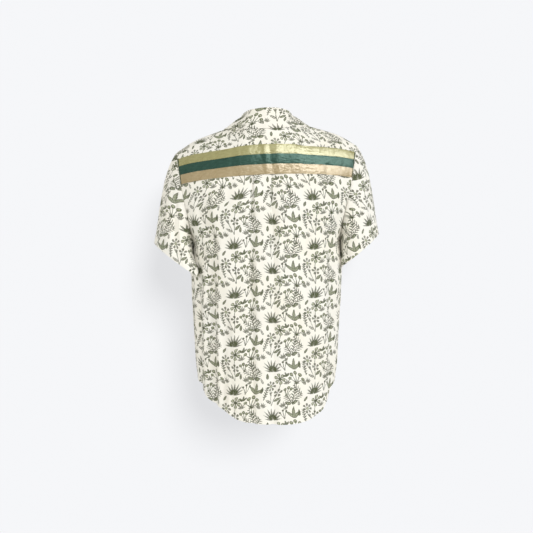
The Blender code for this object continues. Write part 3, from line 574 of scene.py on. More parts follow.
send(inks["pale"], out["Pale"])
send(inks["dark"], out["Dark"])

# Plain weave: threads over and under each other, as the product of two waves, with slubs, which
# are patches of thicker thread drawn out along it
WEAVE, (place, pitch), out = new_group("plain_weave", {"Cloth": None, "Pitch": 0.0005}, ("Height",))
over, under = ((part / pitch * (2.0 * np.pi)).made("SINE")
               for part in parts_of(WEAVE, place.socket))
height = over * under * 0.3
for along, across in ((900.0, 90.0), (90.0, 900.0)):
    height = height + drawn_out(WEAVE, place.socket, along, across, flat=True)
send(height, out["Height"])


def cloth_map(tree):
    """The place on the flat cloth, in metres, from the piece's UV map."""
    node = tree.nodes.new("ShaderNodeUVMap")
    node.uv_map = "cloth"
    return node.outputs["UV"]


def placed_group(tree, group, place):
    """A node group in a material, with the place that it reads. It gives the group's outputs."""
    node = tree.nodes.new("ShaderNodeGroup")
    node.node_tree = group
    tree.links.new(place, node.inputs[0])
    return {socket.name: Number(tree, socket) for socket in node.outputs}


def mixed(share, first, second):
    """A colour mixed from two, each a socket or a fixed colour, by a number from 0 to 1."""
    tree = share.tree
    node = tree.nodes.new("ShaderNodeMix")
    node.data_type = "RGBA"
    send(share, node.inputs["Factor"])
    colours = [socket for socket in node.inputs if socket.type == "RGBA"]
    for socket, value in zip(colours, (first, second)):
        if isinstance(value, bpy.types.NodeSocket):
            tree.links.new(value, socket)
        else:
            socket.default_value = value
    return next(socket for socket in node.outputs if socket.type == "RGBA")


def raised(height, metres):
    """A normal from a height, of which one stands so many metres high."""
    node = height.tree.nodes.new("ShaderNodeBump")
    node.inputs["Distance"].default_value = metres
    send(height, node.inputs["Height"])
    return node.outputs["Normal"]


CREAM = (0.942, 0.922, 0.862, 1.0)
CREAM_WARM = (0.928, 0.895, 0.800, 1.0)
DARK_SAGE = (0.038, 0.050, 0.011, 1.0)
PALE_SAGE = (0.205, 0.245, 0.105, 1.0)
REVERSE_SHOWS = 0.25
WEAVE_HIGH = 0.0001

printed, tree, shader = new_material("printed_cloth", CREAM, 0.88)
place = cloth_map(tree)
inks = placed_group(tree, PRINT, place)

# The ink takes unevenly in small mottles, and the cream is warmer in large patches. On the
# reverse, where the attribute is 0, only part of the ink shows.
mottle = patches(tree, place, 420.0, 3.0).between(0.30, 0.62)
warmth = patches(tree, place, 9.0, 1.0).between(0.35, 0.75)
side = tree.nodes.new("ShaderNodeAttribute")
side.attribute_name = "right_side"
strength = Number(tree, side.outputs["Fac"]) * (1.0 - REVERSE_SHOWS) + REVERSE_SHOWS
pale = inks["Pale"] * (mottle * 0.40 + 0.50) * strength
dark = inks["Dark"] * (mottle * 0.18 + 0.80) * strength
colour = mixed(warmth, CREAM, CREAM_WARM)
colour = mixed(pale, colour, PALE_SAGE)
colour = mixed(dark, colour, DARK_SAGE)
tree.links.new(colour, shader.inputs["Base Color"])
weave = placed_group(tree, WEAVE, place)["Height"]
tree.links.new(raised(weave, WEAVE_HIGH), shader.inputs["Normal"])
shader.inputs["Specular IOR Level"].default_value = 0.2
shader.inputs["Sheen Weight"].default_value = 0.10
shader.inputs["Sheen Roughness"].default_value = 0.5


# ---- Back panel ----
# One panel from the yoke seam to the curved shirt-tail hem, with a box pleat pressed in at the
# seam, which opens below it into soft troughs. Its hem is turned and stitched.
CLOTH_THICK = 0.55
TURNED_THICK = 1.15
BODY_HEM = 7.0
ARMHOLE_ROW = 63
YOKE_SEAM_MID_Z = -115.0
YOKE_SEAM_SIDE_DROP = 8.0
UNDERARM_Z = -275.0
PLEAT_CENTRE = -9.0
PLEAT_OPENS_Z = (-245.0, -125.0)
SHOULDER_LEAN = 0.04
LEAN_FADES_Z = (-620.0, -360.0)
SHARP = 60.0

# A seam's ridge and groove and a hem's line of stitches: how high or deep, and how wide (mm)
SEAM_RIDGE, RIDGE_WIDE = 0.45, 3.2
SEAM_GROOVE, GROOVE_WIDE = 0.45, 1.6
ALLOWANCE = 5.0
HEM_STANDS = 0.30
STITCHES_DRAW, STITCHES_WIDE = 0.28, 1.3

# How far from a seam and from a hem the cloth's unevenness comes up to its height (mm)
CALM_SEAM = 14.0
CALM_HEM = 12.0

# A side is 0 at a panel's centre and 1 at its edge. Where the plain cloth gives way to the pleat
# on the left and on the right, where the folds fade out, and a small step for the cloth's slope
PLAIN_FROM = (-0.255, -0.185)
FOLDS_END_SIDE = (0.9, 0.995)
SIDE_STEP = 0.002
PLEAT_STEPS = 105
PLAIN_STEPS = 61
BODY_ROWS = 150

# Level sections of the back. Columns: z, half width at the panel's edge, depth at the centre and
# at the edge, degrees that the cloth turns from centre to edge, how much squarer than an ellipse.
BACK_SECTIONS = (
    (-60.0, 224.0, -117.0, -48.0, 50.0, 0.00),
    (-90.0, 218.0, -123.5, -62.0, 53.0, 0.00),
    (-123.0, 212.0, -128.0, -75.0, 56.0, 0.00),
    (-165.0, 203.0, -132.0, -78.0, 60.0, 0.00),
    (-200.0, 195.0, -133.0, -72.0, 65.0, 0.00),
    (-235.0, 190.0, -133.0, -53.0, 73.0, 0.06),
    (-262.0, 188.0, -132.5, -25.0, 83.0, 0.20),
    (-275.0, 188.0, -132.0, 0.0, 90.0, 0.33),
    (-330.0, 194.5, -131.0, 0.0, 90.0, 0.28),
    (-400.0, 193.0, -129.0, 0.0, 90.0, 0.25),
    (-450.0, 190.0, -127.0, 0.0, 90.0, 0.20),
    (-520.0, 186.0, -124.0, 0.0, 90.0, 0.15),
    (-575.0, 183.0, -121.5, 0.0, 90.0, 0.12),
    (-630.0, 177.0, -118.5, 0.0, 90.0, 0.10),
    (-720.0, 174.0, -115.0, 0.0, 90.0, 0.08),
)

# Hem height round the body. Columns: degrees from the centre, back left, back right, front.
HEM_HEIGHTS = (
    (0.0, -710.0, -710.0, -690.0),
    (12.0, -708.0, -712.0, -690.0),
    (23.0, -702.0, -712.0, -688.0),
    (34.0, -686.0, -707.0, -684.0),
    (44.0, -672.0, -698.0, -674.0),
    (53.0, -662.0, -684.0, -662.0),
    (62.0, -643.0, -656.0, -646.0),
    (74.0, -626.0, -629.0, -628.0),
    (90.0, -621.0, -621.0, -621.0),
)

# One side of the box pleat, out from its centre. Columns: how far out and how deep the cloth's
# face lies where it is folded at the seam, half open, and open below.
PLEAT_MIDDLE = (0.0, 0.0, 0.0, -0.7, 0.0, -1.8)
PLEAT_PATH = (
    (9.0, 0.0, 8.5, -0.6, 7.0, -1.6),
    (17.5, 0.0, 16.0, -0.3, 13.0, -0.8),
    (19.6, 0.3, 18.8, 0.4, 16.5, 0.8),
    (20.5, 1.4, 20.0, 1.7, 18.5, 2.4),
    (19.6, 2.5, 19.8, 3.1, 20.5, 4.2),
    (17.5, 2.8, 18.9, 4.3, 22.5, 5.6),
    (9.0, 2.8, 17.6, 5.6, 24.5, 6.4),
    (8.5, 3.4, 18.4, 7.0, 26.5, 6.5),
    (9.0, 4.0, 20.6, 7.4, 28.5, 6.0),
    (18.0, 4.2, 25.0, 6.4, 31.5, 4.6),
    (25.0, 3.6, 30.0, 4.2, 35.0, 2.8),
    (32.0, 1.6, 36.0, 1.8, 39.0, 1.1),
    (39.0, 0.2, 42.0, 0.3, 44.0, 0.2),
)

# Folds of the back: where each one starts and ends, how deep and how wide it is to each side.
# Columns: x_top, z_top, x_end, z_end, deep, reach, with both x measured round from the centre.
BACK_FOLDS = (
    (-118.0, -140.0, -128.0, -640.0, 5.0, 22.0),
    (-160.0, -250.0, -182.0, -600.0, 5.5, 24.0),
    (-86.0, -400.0, -94.0, -690.0, 4.5, 18.0),
    (-208.0, -300.0, -226.0, -600.0, 4.0, 22.0),
    (98.0, -190.0, 110.0, -670.0, 5.0, 22.0),
    (62.0, -420.0, 68.0, -700.0, 3.5, 17.0),
    (156.0, -240.0, 172.0, -650.0, 5.5, 26.0),
    (214.0, -310.0, 222.0, -600.0, 4.0, 22.0),
)

# Creases of the back, which are narrower and fade at both of their ends, in the same columns
BACK_CREASES = (
    (-66.0, -150.0, -58.0, -330.0, 0.9, 8.0),
    (-142.0, -180.0, -120.0, -300.0, 1.1, 9.0),
    (-176.0, -215.0, -146.0, -330.0, 1.2, 9.0),
    (72.0, -140.0, 66.0, -300.0, 0.8, 8.0),
    (132.0, -170.0, 116.0, -320.0, 1.0, 9.0),
    (168.0, -200.0, 150.0, -330.0, 1.0, 9.0),
    (28.0, -330.0, 34.0, -560.0, 1.0, 10.0),
    (-40.0, -420.0, -46.0, -640.0, 1.0, 10.0),
    (-122.0, -330.0, -115.0, -780.0, 6.6, 7.5),
    (-150.0, -360.0, -146.0, -740.0, -2.8, 10.0),
    (-178.0, -330.0, -177.0, -720.0, 5.0, 7.5),
    (-33.0, -460.0, -33.0, -1060.0, -2.8, 8.0),
    (-140.0, -150.0, -122.0, -420.0, 2.6, 6.5),
    (-104.0, -150.0, -98.0, -380.0, -1.6, 8.0),
    (-44.0, -170.0, -22.0, -480.0, 2.4, 4.5),
    (-33.0, -170.0, -10.0, -480.0, -1.4, 6.0),
    (-76.0, -480.0, -70.0, -760.0, 2.4, 6.0),
    (12.0, -180.0, 16.0, -430.0, 2.0, 4.5),
    (60.0, -300.0, 66.0, -600.0, 1.8, 5.5),
    (96.0, -220.0, 104.0, -520.0, 2.2, 6.5),
    (152.0, -360.0, 162.0, -660.0, 2.6, 7.0),
)


def through(knots, values, at, slopes=None):
    """Smooth curve through a table's rows: cubic pieces whose slopes are central differences."""
    knots = np.asarray(knots, float)
    values = np.asarray(values, float)
    if slopes is None:
        slopes = np.gradient(values, knots, axis=0)
    at = np.clip(at, knots[0], knots[-1])
    i = np.clip(np.searchsorted(knots, at, side="right") - 1, 0, len(knots) - 2)
    step = (knots[i + 1] - knots[i]).reshape(np.shape(at) + (1,) * (values.ndim - 1))
    t = (at - knots[i]).reshape(step.shape) / step
    start = values[i] * (2 * t**3 - 3 * t**2 + 1) + slopes[i] * step * (t**3 - 2 * t**2 + t)
    end = values[i + 1] * (3 * t**2 - 2 * t**3) + slopes[i + 1] * step * (t**3 - t**2)
    return start + end


def section_values(rows, at):
    """A table's other columns at given values of its first: smooth, with no overshoot, because
    each slope is the harmonic mean of those to either side of it."""
    rows = np.array(rows)
    rows = rows[np.argsort(rows[:, 0])]
    rise = np.diff(rows[:, 1:], axis=0) / np.diff(rows[:, 0])[:, None]
    before, after = rise[:-1], rise[1:]
    same_way = before * after > 0.0
    total = np.where(same_way, before + after, 1.0)
    inner = np.where(same_way, 2.0 * before * after / total, 0.0)
    slopes = np.concatenate((rise[:1], inner, rise[-1:]))
    return np.moveaxis(through(rows[:, 0], rows[:, 1:], at, slopes), -1, 0)


def ease(value, start, end):
    """0 before start, 1 after end, smooth between them."""
    t = np.clip((value - start) / (end - start), 0.0, 1.0)
    return t * t * (3.0 - 2.0 * t)


def body_point(sections, side, z):
    """Point of a level section: an arc from the centre (side 0) to the edges (side -1 and 1)."""
    half, mid_y, edge_y, turn, full = section_values(sections, z)
    turn = np.radians(turn)
    angle = side * turn
    x = half * np.sin(angle) / np.sin(turn)
    share = (np.cos(angle) - np.cos(turn)) / (1.0 - np.cos(turn))
    y = edge_y + (mid_y - edge_y) * share * (1.0 + full * (1.0 - share))
    return np.stack([x, y, z], axis=-1)


def reach_of(sections, z):
    """Millimetres round the panel from its centre to its edge at each height, nearly enough."""
    half, mid_y, edge_y, turn, _ = section_values(sections, z)
    turn = np.radians(turn)
    return 0.5 * turn * (half / np.sin(turn) + abs(mid_y - edge_y) / (1.0 - np.cos(turn)))


def cosine_hollow(off):
    """1 in the middle of a fold, down to 0 at its sides, which are 1 off, and beyond them."""
    return 0.5 + 0.5 * np.cos(np.pi * np.clip(off, -1.0, 1.0))


def fold_depth(folds, round_mm, z):
    """Depth of all the folds at each point: each one is a cosine hollow along a slant, which
    grows to its depth over 90 mm, or over half its length, and loses 0.4 of it by its end."""
    total = np.zeros_like(z)
    for x_top, z_top, x_end, z_end, deep, reach in folds:
        share = np.clip((z_top - z) / (z_top - z_end), 0.0, 1.0)
        off = (round_mm - (x_top + (x_end - x_top) * share)) / reach
        grown = ease(z, z_top, z_top - min(90.0, 0.5 * (z_top - z_end)))
        total += deep * cosine_hollow(off) * grown * (1.0 - 0.4 * ease(share, 0.8, 1.0))
    return total


def creases(folds, round_mm, z):
    """Depth of all the creases at each point: each is a bell-shaped hollow along a slant, which
    comes in over the first third of its length and goes out over the last."""
    total = np.zeros_like(z)
    for x_top, z_top, x_end, z_end, deep, reach in folds:
        share = (z_top - z) / (z_top - z_end)
        off = (round_mm - (x_top + (x_end - x_top) * share)) / reach
        hollow = np.exp(-off * off)
        total += deep * hollow * ease(share, -0.15, 0.3) * (1.0 - ease(share, 0.6, 1.1))
    return total


def waves(across, down, high):
    """Slow unevenness of hanging cloth: the sum of four long sine waves. Each row: its share of
    the height, its length across the cloth and down it (mm), and where it starts (radians)."""
    return high * sum(size * np.sin(2.0 * np.pi * (across / wide + down / tall) + start)
                      for size, wide, tall, start in (
                          (0.34, 61.0, 310.0, 0.3), (0.28, 37.0, 210.0, 2.1),
                          (0.16, 23.0, 120.0, 4.0), (0.22, 150.0, 74.0, 1.2)))


def unit(vectors):
    """The same directions, each of length one."""
    return vectors / np.linalg.norm(vectors, axis=-1, keepdims=True)


def sunk_body(sections, folds, side, z, outward, extra):
    """Body points with the folds, and any extra depth, let in square to the cloth."""
    point = body_point(sections, side, z)
    across = (body_point(sections, side + SIDE_STEP, z)
              - body_point(sections, side - SIDE_STEP, z))
    down = body_point(sections, side, z - 1.0) - body_point(sections, side, z + 1.0)
    normal = unit(np.cross(across, down) * outward)
    depth = fold_depth(folds, side * reach_of(sections, z), z) + extra
    depth *= 1.0 - ease(np.abs(side), *FOLDS_END_SIDE)
    return point - normal * depth[..., None]


def hem_height(side, front):
    """Height of the hem where a panel's edge is side 1 and the wearer's right is positive."""
    left_z, right_z, front_z = section_values(HEM_HEIGHTS, np.abs(side) * 90.0)
    return front_z if front else np.where(side < 0.0, left_z, right_z)


def yoke_seam_z(side):
    """Height of the seam between yoke and back: a shallow arch."""
    return YOKE_SEAM_MID_Z - YOKE_SEAM_SIDE_DROP * side**2


def leaned(grid):
    """The whole shirt hangs a little lower on the wearer's left, most at the shoulders."""
    result = grid.copy()
    result[..., 2] += SHOULDER_LEAN * grid[..., 0] * ease(grid[..., 2], *LEAN_FADES_Z)
    return result


def back_grid(level):
    """Back panel: columns from left to right, rows at the given heights of its centre line."""
    path = np.array(PLEAT_PATH)
    table = np.concatenate((path[::-1] * ((-1.0, 1.0) * 3), [PLEAT_MIDDLE], path))
    knots = np.arange(float(len(table)))
    pleat = through(knots, table, np.linspace(0.0, knots[-1], PLEAT_STEPS))[:, None]
    opened = 1.0 - ease(level, *PLEAT_OPENS_Z)
    first = np.minimum(2.0 * opened, 1.0)[None, :, None]
    second = np.maximum(2.0 * opened - 1.0, 0.0)[None, :, None]
    folded, half, wide = pleat[..., 0:2], pleat[..., 2:4], pleat[..., 4:6]
    out, deep = np.moveaxis(folded + (half - folded) * first + (wide - half) * second, -1, 0)
    half_width, _, _, turn, _ = section_values(BACK_SECTIONS, level)
    turn = np.radians(turn)
    pleat_side = (PLEAT_CENTRE + out) / (half_width * turn / np.sin(turn))
    left, right = (np.tile(np.linspace(-1.0, start, PLAIN_STEPS)[:-1, None], (1, len(level)))
                   for start in PLAIN_FROM)
    side = np.concatenate((left, pleat_side, -right[::-1]))
    extra = np.zeros_like(side)
    extra[len(left):-len(right)] = deep
    upper = (level - UNDERARM_Z) / (YOKE_SEAM_MID_Z - UNDERARM_Z)
    lower = (level - UNDERARM_Z) / (HEM_HEIGHTS[0][1] - UNDERARM_Z)
    z = UNDERARM_Z + np.where(
        level >= UNDERARM_Z,
        (yoke_seam_z(side) - UNDERARM_Z) * upper,
        (hem_height(side, False) - UNDERARM_Z) * lower)
    extra += creases(BACK_CREASES, side * reach_of(BACK_SECTIONS, z), z)
    return sunk_body(BACK_SECTIONS, BACK_FOLDS, side, z, -1.0, extra)


def normals_of(grid, outward, closed=False):
    """Unit normals of a grid's points, from the faces round each one."""
    if closed:
        grid = np.concatenate((grid, grid[:1]))
    a, b, c, d = grid[:-1, :-1], grid[1:, :-1], grid[1:, 1:], grid[:-1, 1:]
    face = np.cross(c - a, d - b) * outward
    total = np.zeros_like(grid)
    for across in (0, 1):
        for down in (0, 1):
            total[across:across + face.shape[0], down:down + face.shape[1]] += face
    if closed:
        total[0] += total[-1]
        total = total[:-1]
    return unit(total)


def run_along(points, axis=0, keep=(1.0, 1.0, 1.0)):
    """Millimetres travelled along a line, or a grid's columns (axis 0) or rows (axis 1)."""
    steps = np.linalg.norm(np.diff(points, axis=axis) * keep, axis=-1)
    start = np.zeros_like(np.take(steps, [0], axis=axis))
    return np.concatenate((start, np.cumsum(steps, axis=axis)), axis=axis)


def read_off(at, travelled, values):
    """Values at places on a line, by straight pieces between those at its points."""
    return np.stack([np.interp(at, travelled, part) for part in values.T], axis=-1)


def seam_relief(distance):
    """A seam's groove, and the ridge that its allowance raises beside it, by how far off it is."""
    ridge = SEAM_RIDGE * np.exp(-((distance - ALLOWANCE) / RIDGE_WIDE) ** 2)
    groove = SEAM_GROOVE * np.exp(-(distance / GROOVE_WIDE) ** 2)
    return ridge * ease(distance, 0.0, 1.5) - groove


def hem_relief(from_edge, deep):
    """A hem stands a little proud, and its stitches draw it in along a line."""
    band = HEM_STANDS * (1.0 - ease(from_edge, deep + 0.4, deep + 2.2))
    return band - STITCHES_DRAW * np.exp(-((from_edge - deep) / STITCHES_WIDE) ** 2)


def turned_thick(from_edge, deep):
    """The cloth's thickness where its edge is turned in and sewn down so many millimetres deep."""
    return TURNED_THICK + (CLOTH_THICK - TURNED_THICK) * ease(from_edge, deep - 0.2, deep + 1.4)


def cut_of(flat):
    """Width and length of a flat panel's box, and its area: the sum of its quads' areas, each
    half the cross product of its diagonals. In metres and square metres."""
    a, b, c, d = flat[:-1, :-1], flat[1:, :-1], flat[1:, 1:], flat[:-1, 1:]
    across, along = c - a, d - b
    area = 0.5 * np.abs(across[..., 0] * along[..., 1] - across[..., 1] * along[..., 0]).sum()
    width, length = (flat.max(axis=(0, 1)) - flat.min(axis=(0, 1))) * MM
    return {"flat": (float(width), float(length)), "area": float(area) * MM * MM}


def cloth_shell(name, grid, flat, outward, held, rests_on=(), closed=False, thick=CLOTH_THICK,
                doubled=False, material=printed, slot="printed_cloth"):
    """Thin cloth: the outer grid, and an inner one a cloth's thickness in, joined at the edges.

    flat is each point's place on the flat cloth in millimetres, and gives the sheet's cut. A
    tube's has one column more than its grid, because the first column's other edge lies
    elsewhere on the flat cloth. Cloth that is doubled shows its right side on both faces.
    """
    columns, rows = grid.shape[:2]
    thick = np.broadcast_to(thick, (columns, rows))[..., None]
    points = np.concatenate((grid, grid - normals_of(grid, outward, closed) * thick))
    count = columns * rows
    index = np.arange(count).reshape(columns, rows)
    flat_index = np.arange(flat.shape[0] * rows).reshape(-1, rows)
    if closed:
        index = np.concatenate((index, index[:1]))
    face, flat_face = grid_faces(columns, rows, closed), grid_faces(flat.shape[0], rows)
    faces, corners = [face, face[:, ::-1] + count], [flat_face, flat_face[:, ::-1]]
    rims = [(index[:, 0], flat_index[:, 0]), (index[::-1, -1], flat_index[::-1, -1])]
    if not closed:
        rims += [(index[0, ::-1], flat_index[0, ::-1]), (index[-1], flat_index[-1])]
    for rim, flat_rim in rims:
        near, far = rim[:-1], rim[1:]
        faces.append(np.stack((far, near, near + count, far + count), axis=-1))
        near, far = flat_rim[:-1], flat_rim[1:]
        corners.append(np.stack((far, near, near, far), axis=-1))
    right_side = np.ones(sum(len(part) for part in faces), np.float32)
    right_side[len(face):2 * len(face)] = 1.0 if doubled else 0.0
    faces, corners = np.concatenate(faces), np.concatenate(corners)
    if outward < 0:
        faces, corners = faces[:, ::-1], corners[:, ::-1]
    piece = new_piece("shirt_" + name, points, faces.tolist(), material)
    piece.data.set_sharp_from_angle(angle=np.radians(SHARP))
    layer = piece.data.uv_layers.new(name="cloth")
    layer.data.foreach_set("uv", (flat.reshape(-1, 2)[corners.ravel()] * MM).ravel())
    attribute = piece.data.attributes.new("right_side", "FLOAT", "FACE")
    attribute.data.foreach_set("value", right_side)
    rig.ride(piece, "root")
    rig.replaces(piece, name)
    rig.slot(piece, slot)
    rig.sheet(piece, held=held, rests_on=rests_on, **cut_of(flat))


def from_middle(travelled):
    """Millimetres from the middle column, less than nought to its left."""
    return travelled - travelled[len(travelled) // 2]


def from_ends(travelled):
    """Millimetres from the nearer of the first and last columns."""
    return np.minimum(travelled - travelled[:1], travelled[-1:] - travelled)


def line_on(grid, normals, travelled, wanted):
    """The line over a grid, one point in each column, where the way travelled along the column
    comes to the wanted value, with its normals."""
    rising = travelled[:, -1:] > travelled[:, :1]
    passed = np.where(rising, travelled <= wanted, travelled >= wanted)
    i = np.clip(passed.sum(axis=1) - 1, 0, grid.shape[1] - 2)
    column = np.arange(len(grid))
    start, end = travelled[column, i], travelled[column, i + 1]
    share = np.clip((wanted - start) / (end - start), 0.0, 1.0)[:, None]
    return tuple(values[column, i] * (1.0 - share) + values[column, i + 1] * share
                 for values in (grid, normals))


# Sewing thread: how long a stitch is, how far it is from one to the next, the thread's radius
# (mm), its fibres to a metre, their shade and height (metres), and the thread's profile along a
# stitch: shares of the stitch, and widths and heights in radii. Its ends dip into the cloth.
STITCH = 2.2
STITCH_PITCH = 2.9
THREAD = 0.17
FIBRES = 3200.0
FIBRE_SHADE = 0.78
FIBRE_HIGH = 0.00005
STITCH_ALONG = (0.0, 0.14, 0.5, 0.86, 1.0)
STITCH_WIDE = (0.4, 0.9, 1.0, 0.9, 0.4)
STITCH_HIGH = (-1.2, 0.3, 0.8, 0.3, -1.2)
THREAD_SIDES = 5


def capsules(name, starts, ends, normals, thick, material):
    """Short lengths of thread, each from its start to its end: rings round the straight line
    between them, with the widths and heights of a stitch, closed at both ends."""
    way = unit(ends - starts)
    aside = unit(np.cross(way, normals))
    up = np.cross(aside, way)
    rings = len(STITCH_ALONG)
    t, wide, high = (np.array(row)[None, :, None, None]
                     for row in (STITCH_ALONG, STITCH_WIDE, STITCH_HIGH))
    angle = np.linspace(0.0, 2.0 * np.pi, THREAD_SIDES, endpoint=False)[None, None, :, None]
    start, end, aside, up = (row[:, None, None, :] for row in (starts, ends, aside, up))
    points = start * (1.0 - t) + end * t
    points = points + up * thick * (high + wide * np.sin(angle))
    points = points + aside * thick * wide * np.cos(angle)
    one = grid_faces(THREAD_SIDES, rings, True)
    ring_of, side_of = one % rings, one // rings
    one = (ring_of * THREAD_SIDES + side_of)[:, ::-1]
    first = (np.arange(len(starts)) * rings * THREAD_SIDES)[:, None]
    quads = (first[:, :, None] + one[None]).reshape(-1, 4).tolist()
    cap = np.arange(THREAD_SIDES)[None]
    ends_of = (first + cap).tolist() + (first + (rings - 1) * THREAD_SIDES + cap[:, ::-1]).tolist()
    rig.ride(new_piece(name, points, quads + ends_of, material), "root")


def row_of_stitches(name, line, normals, material):
    """Stitches one after another along a line on the cloth, evenly spaced by its length."""
    travelled = run_along(line)
    count = int(travelled[-1] / STITCH_PITCH)
    middle = (np.arange(count) + 0.5) * travelled[-1] / count
    starts, ends = (read_off(middle + half, travelled, line) for half in (-STITCH / 2, STITCH / 2))
    capsules(name, starts, ends, read_off(middle, travelled, normals), THREAD, material)


def thread_material(name, colour):
    """Cotton thread: its twisted fibres are a fine noise in its height and its shade."""
    material, tree, shader = new_material(name, colour, 0.7)
    place = tree.nodes.new("ShaderNodeTexCoord").outputs["Object"]
    fibres = patches(tree, place, FIBRES, 1.0)
    darker = tuple(FIBRE_SHADE * part for part in colour[:3]) + (1.0,)
    tree.links.new(mixed(fibres.between(0.3, 0.7), darker, colour), shader.inputs["Base Color"])
    tree.links.new(raised(fibres, FIBRE_HIGH), shader.inputs["Normal"])
    shader.inputs["Sheen Weight"].default_value = 0.2
    return material


cream_thread = thread_material("cream_thread", (0.80, 0.77, 0.66, 1.0))

level = np.concatenate((
    np.linspace(YOKE_SEAM_MID_Z, UNDERARM_Z, ARMHOLE_ROW + 1)[:-1],
    np.linspace(UNDERARM_Z, HEM_HEIGHTS[0][1], BODY_ROWS)))
plain_back = back_grid(level)
back = leaned(plain_back)
back_normals = normals_of(back, -1.0)
round_mm = from_middle(run_along(back, keep=(1.0, 1.0, 0.0)))
back_flat = np.stack((round_mm, back[..., 2]), axis=-1)
from_seam = run_along(back, 1)
from_hem = from_seam[:, -1:] - from_seam
from_side = from_ends(round_mm)
calm = (ease(from_seam, 0.0, CALM_SEAM) * ease(from_hem, 0.0, CALM_HEM)
        * ease(from_side, 0.0, CALM_SEAM))
lift = waves(back_flat[..., 0], back_flat[..., 1], 1.0) * calm
lift += seam_relief(from_seam) + seam_relief(from_side) + hem_relief(from_hem, BODY_HEM)
back = back + back_normals * lift[..., None]
cloth_shell("back", back, back_flat, -1.0, "hung", ["shirt_yoke"],
            thick=turned_thick(from_hem, BODY_HEM))
row_of_stitches("stitches_back_hem", *line_on(back, back_normals, from_hem, BODY_HEM), cream_thread)


# ---- Yoke ----
# One panel across the shoulders, from the back seam up over them to the seams of the two fronts.
# The neck seam is cut into its upper edge, and its sides end at the armholes.
RIBBON_WIDTH = 25.4
SHOULDER_STITCH = 2.0
NECK_STEPS = 36
SEAM_STEPS = 60
YOKE_ROWS = 85
FINE_STEPS = 961
RIPPLE_SLANT = 0.12
BELOW_SEAM = 45.0
STRAND_STEPS = 181

# The neck seam's right half, from the centre back to the centre front
NECK_RING = (
    (0.0, -88.0, 18.0),
    (27.0, -82.0, 20.0),
    (46.0, -66.0, 26.0),
    (57.0, -42.0, 32.0),
    (60.0, -20.0, 34.0),
    (57.0, 0.0, 28.0),
    (50.0, 14.0, 12.0),
    (36.0, 26.0, -11.0),
    (17.0, 33.0, -32.0),
    (0.0, 35.0, -39.0),
)
NECK_POINT = 5

# The seam of the yoke to the right front, from the neck to the armhole
FRONT_SEAM = (
    (57.0, 0.0, 28.0),
    (90.0, 14.0, 14.0),
    (128.0, 27.0, -6.0),
    (165.0, 37.0, -30.0),
    (200.0, 45.0, -60.0),
)

# What each of the yoke's strands passes on its way over the shoulder, from the centre back
# (side 0) to the armhole (side 1): a point low on the back and a point near the ridge
YOKE_STRANDS = (
    (0.00, (0.0, -118.0, -60.0), (0.0, -104.0, -14.0)),
    (0.25, (55.0, -113.0, -53.0), (51.0, -90.0, -1.0)),
    (0.50, (103.0, -92.0, -40.0), (80.0, -45.0, 21.0)),
    (0.75, (162.0, -72.0, -44.0), (152.0, -22.0, 8.0)),
    (0.88, (194.0, -62.0, -52.0), (188.0, -14.0, -4.0)),
    (1.00, (223.0, -53.0, -66.0), (229.5, -12.0, -30.0)),
)

# Upright ripples of the yoke and of the ribbons on it: x, half width, height, and how far up
# from the seam each one fades out (mm)
YOKE_RIPPLES = (
    (-170.0, 12.0, 0.6, 110.0), (-108.0, 16.0, -0.5, 110.0), (-61.0, 6.0, 0.8, 110.0),
    (2.0, 7.0, 1.1, 110.0), (15.0, 5.0, -0.5, 110.0), (33.0, 9.0, 1.2, 110.0),
    (54.0, 8.0, -1.0, 110.0), (80.0, 9.0, 1.2, 110.0), (101.0, 9.0, -1.0, 110.0),
    (127.0, 9.0, 0.6, 110.0), (134.0, 8.0, 1.9, 34.0), (152.0, 8.0, -1.9, 34.0),
    (146.0, 8.0, 0.6, 110.0), (176.0, 8.0, 1.0, 110.0),
)


def along(points, shares):
    """Points at given shares of the length of the smooth curve through the given points."""
    travelled = run_along(points)
    fine = through(travelled, points, np.linspace(0.0, travelled[-1], FINE_STEPS))
    travelled = run_along(fine)
    return read_off(shares * travelled[-1], travelled, fine)


def mirrored(point, side):
    """A point of the right half, put on the left where side is negative."""
    return point * np.stack([np.where(side < 0.0, -1.0, 1.0)] + [np.ones_like(side)] * 2, axis=-1)


def strand_table(rows, side):
    """The two points that each strand passes, read from the table by its side."""
    passed = through([row[0] for row in rows], [row[1:] for row in rows], np.abs(side))
    return mirrored(passed[:, 0], side), mirrored(passed[:, 1], side)


def top_points(side, first, last):
    """Where the strands end: on the neck ring from its row first to last, then on the seam."""
    ring = np.array(NECK_RING)[first:last + 1]
    if first:
        ring = ring[::-1]
    on_neck = along(ring, np.clip(np.abs(side) * 2.0, 0.0, 1.0))
    on_seam = along(FRONT_SEAM, np.clip(np.abs(side) * 2.0 - 1.0, 0.0, 1.0))
    return mirrored(np.where(np.abs(side)[..., None] <= 0.5, on_neck, on_seam), side)


def fine_strands(strands):
    """A smooth curve through each strand's points, and the millimetres travelled along it."""
    knots = np.arange(float(len(strands)))
    fine = through(knots, strands, np.linspace(0.0, knots[-1], STRAND_STEPS))
    return fine, run_along(fine)


def resampled(strands, lengths):
    """Each strand's points at given lengths (mm) from its start, by straight pieces of the fine
    curve. Strands run on axis 0 and lengths on axis 1."""
    fine, travelled = fine_strands(strands)
    i = np.clip((travelled[:, :, None] <= lengths[None]).sum(axis=0) - 1, 0, len(fine) - 2)
    column = np.arange(lengths.shape[0])[:, None]
    start, end = travelled[i, column], travelled[i + 1, column]
    share = ((lengths - start) / (end - start))[..., None]
    return fine[i, column] * (1.0 - share) + fine[i + 1, column] * share


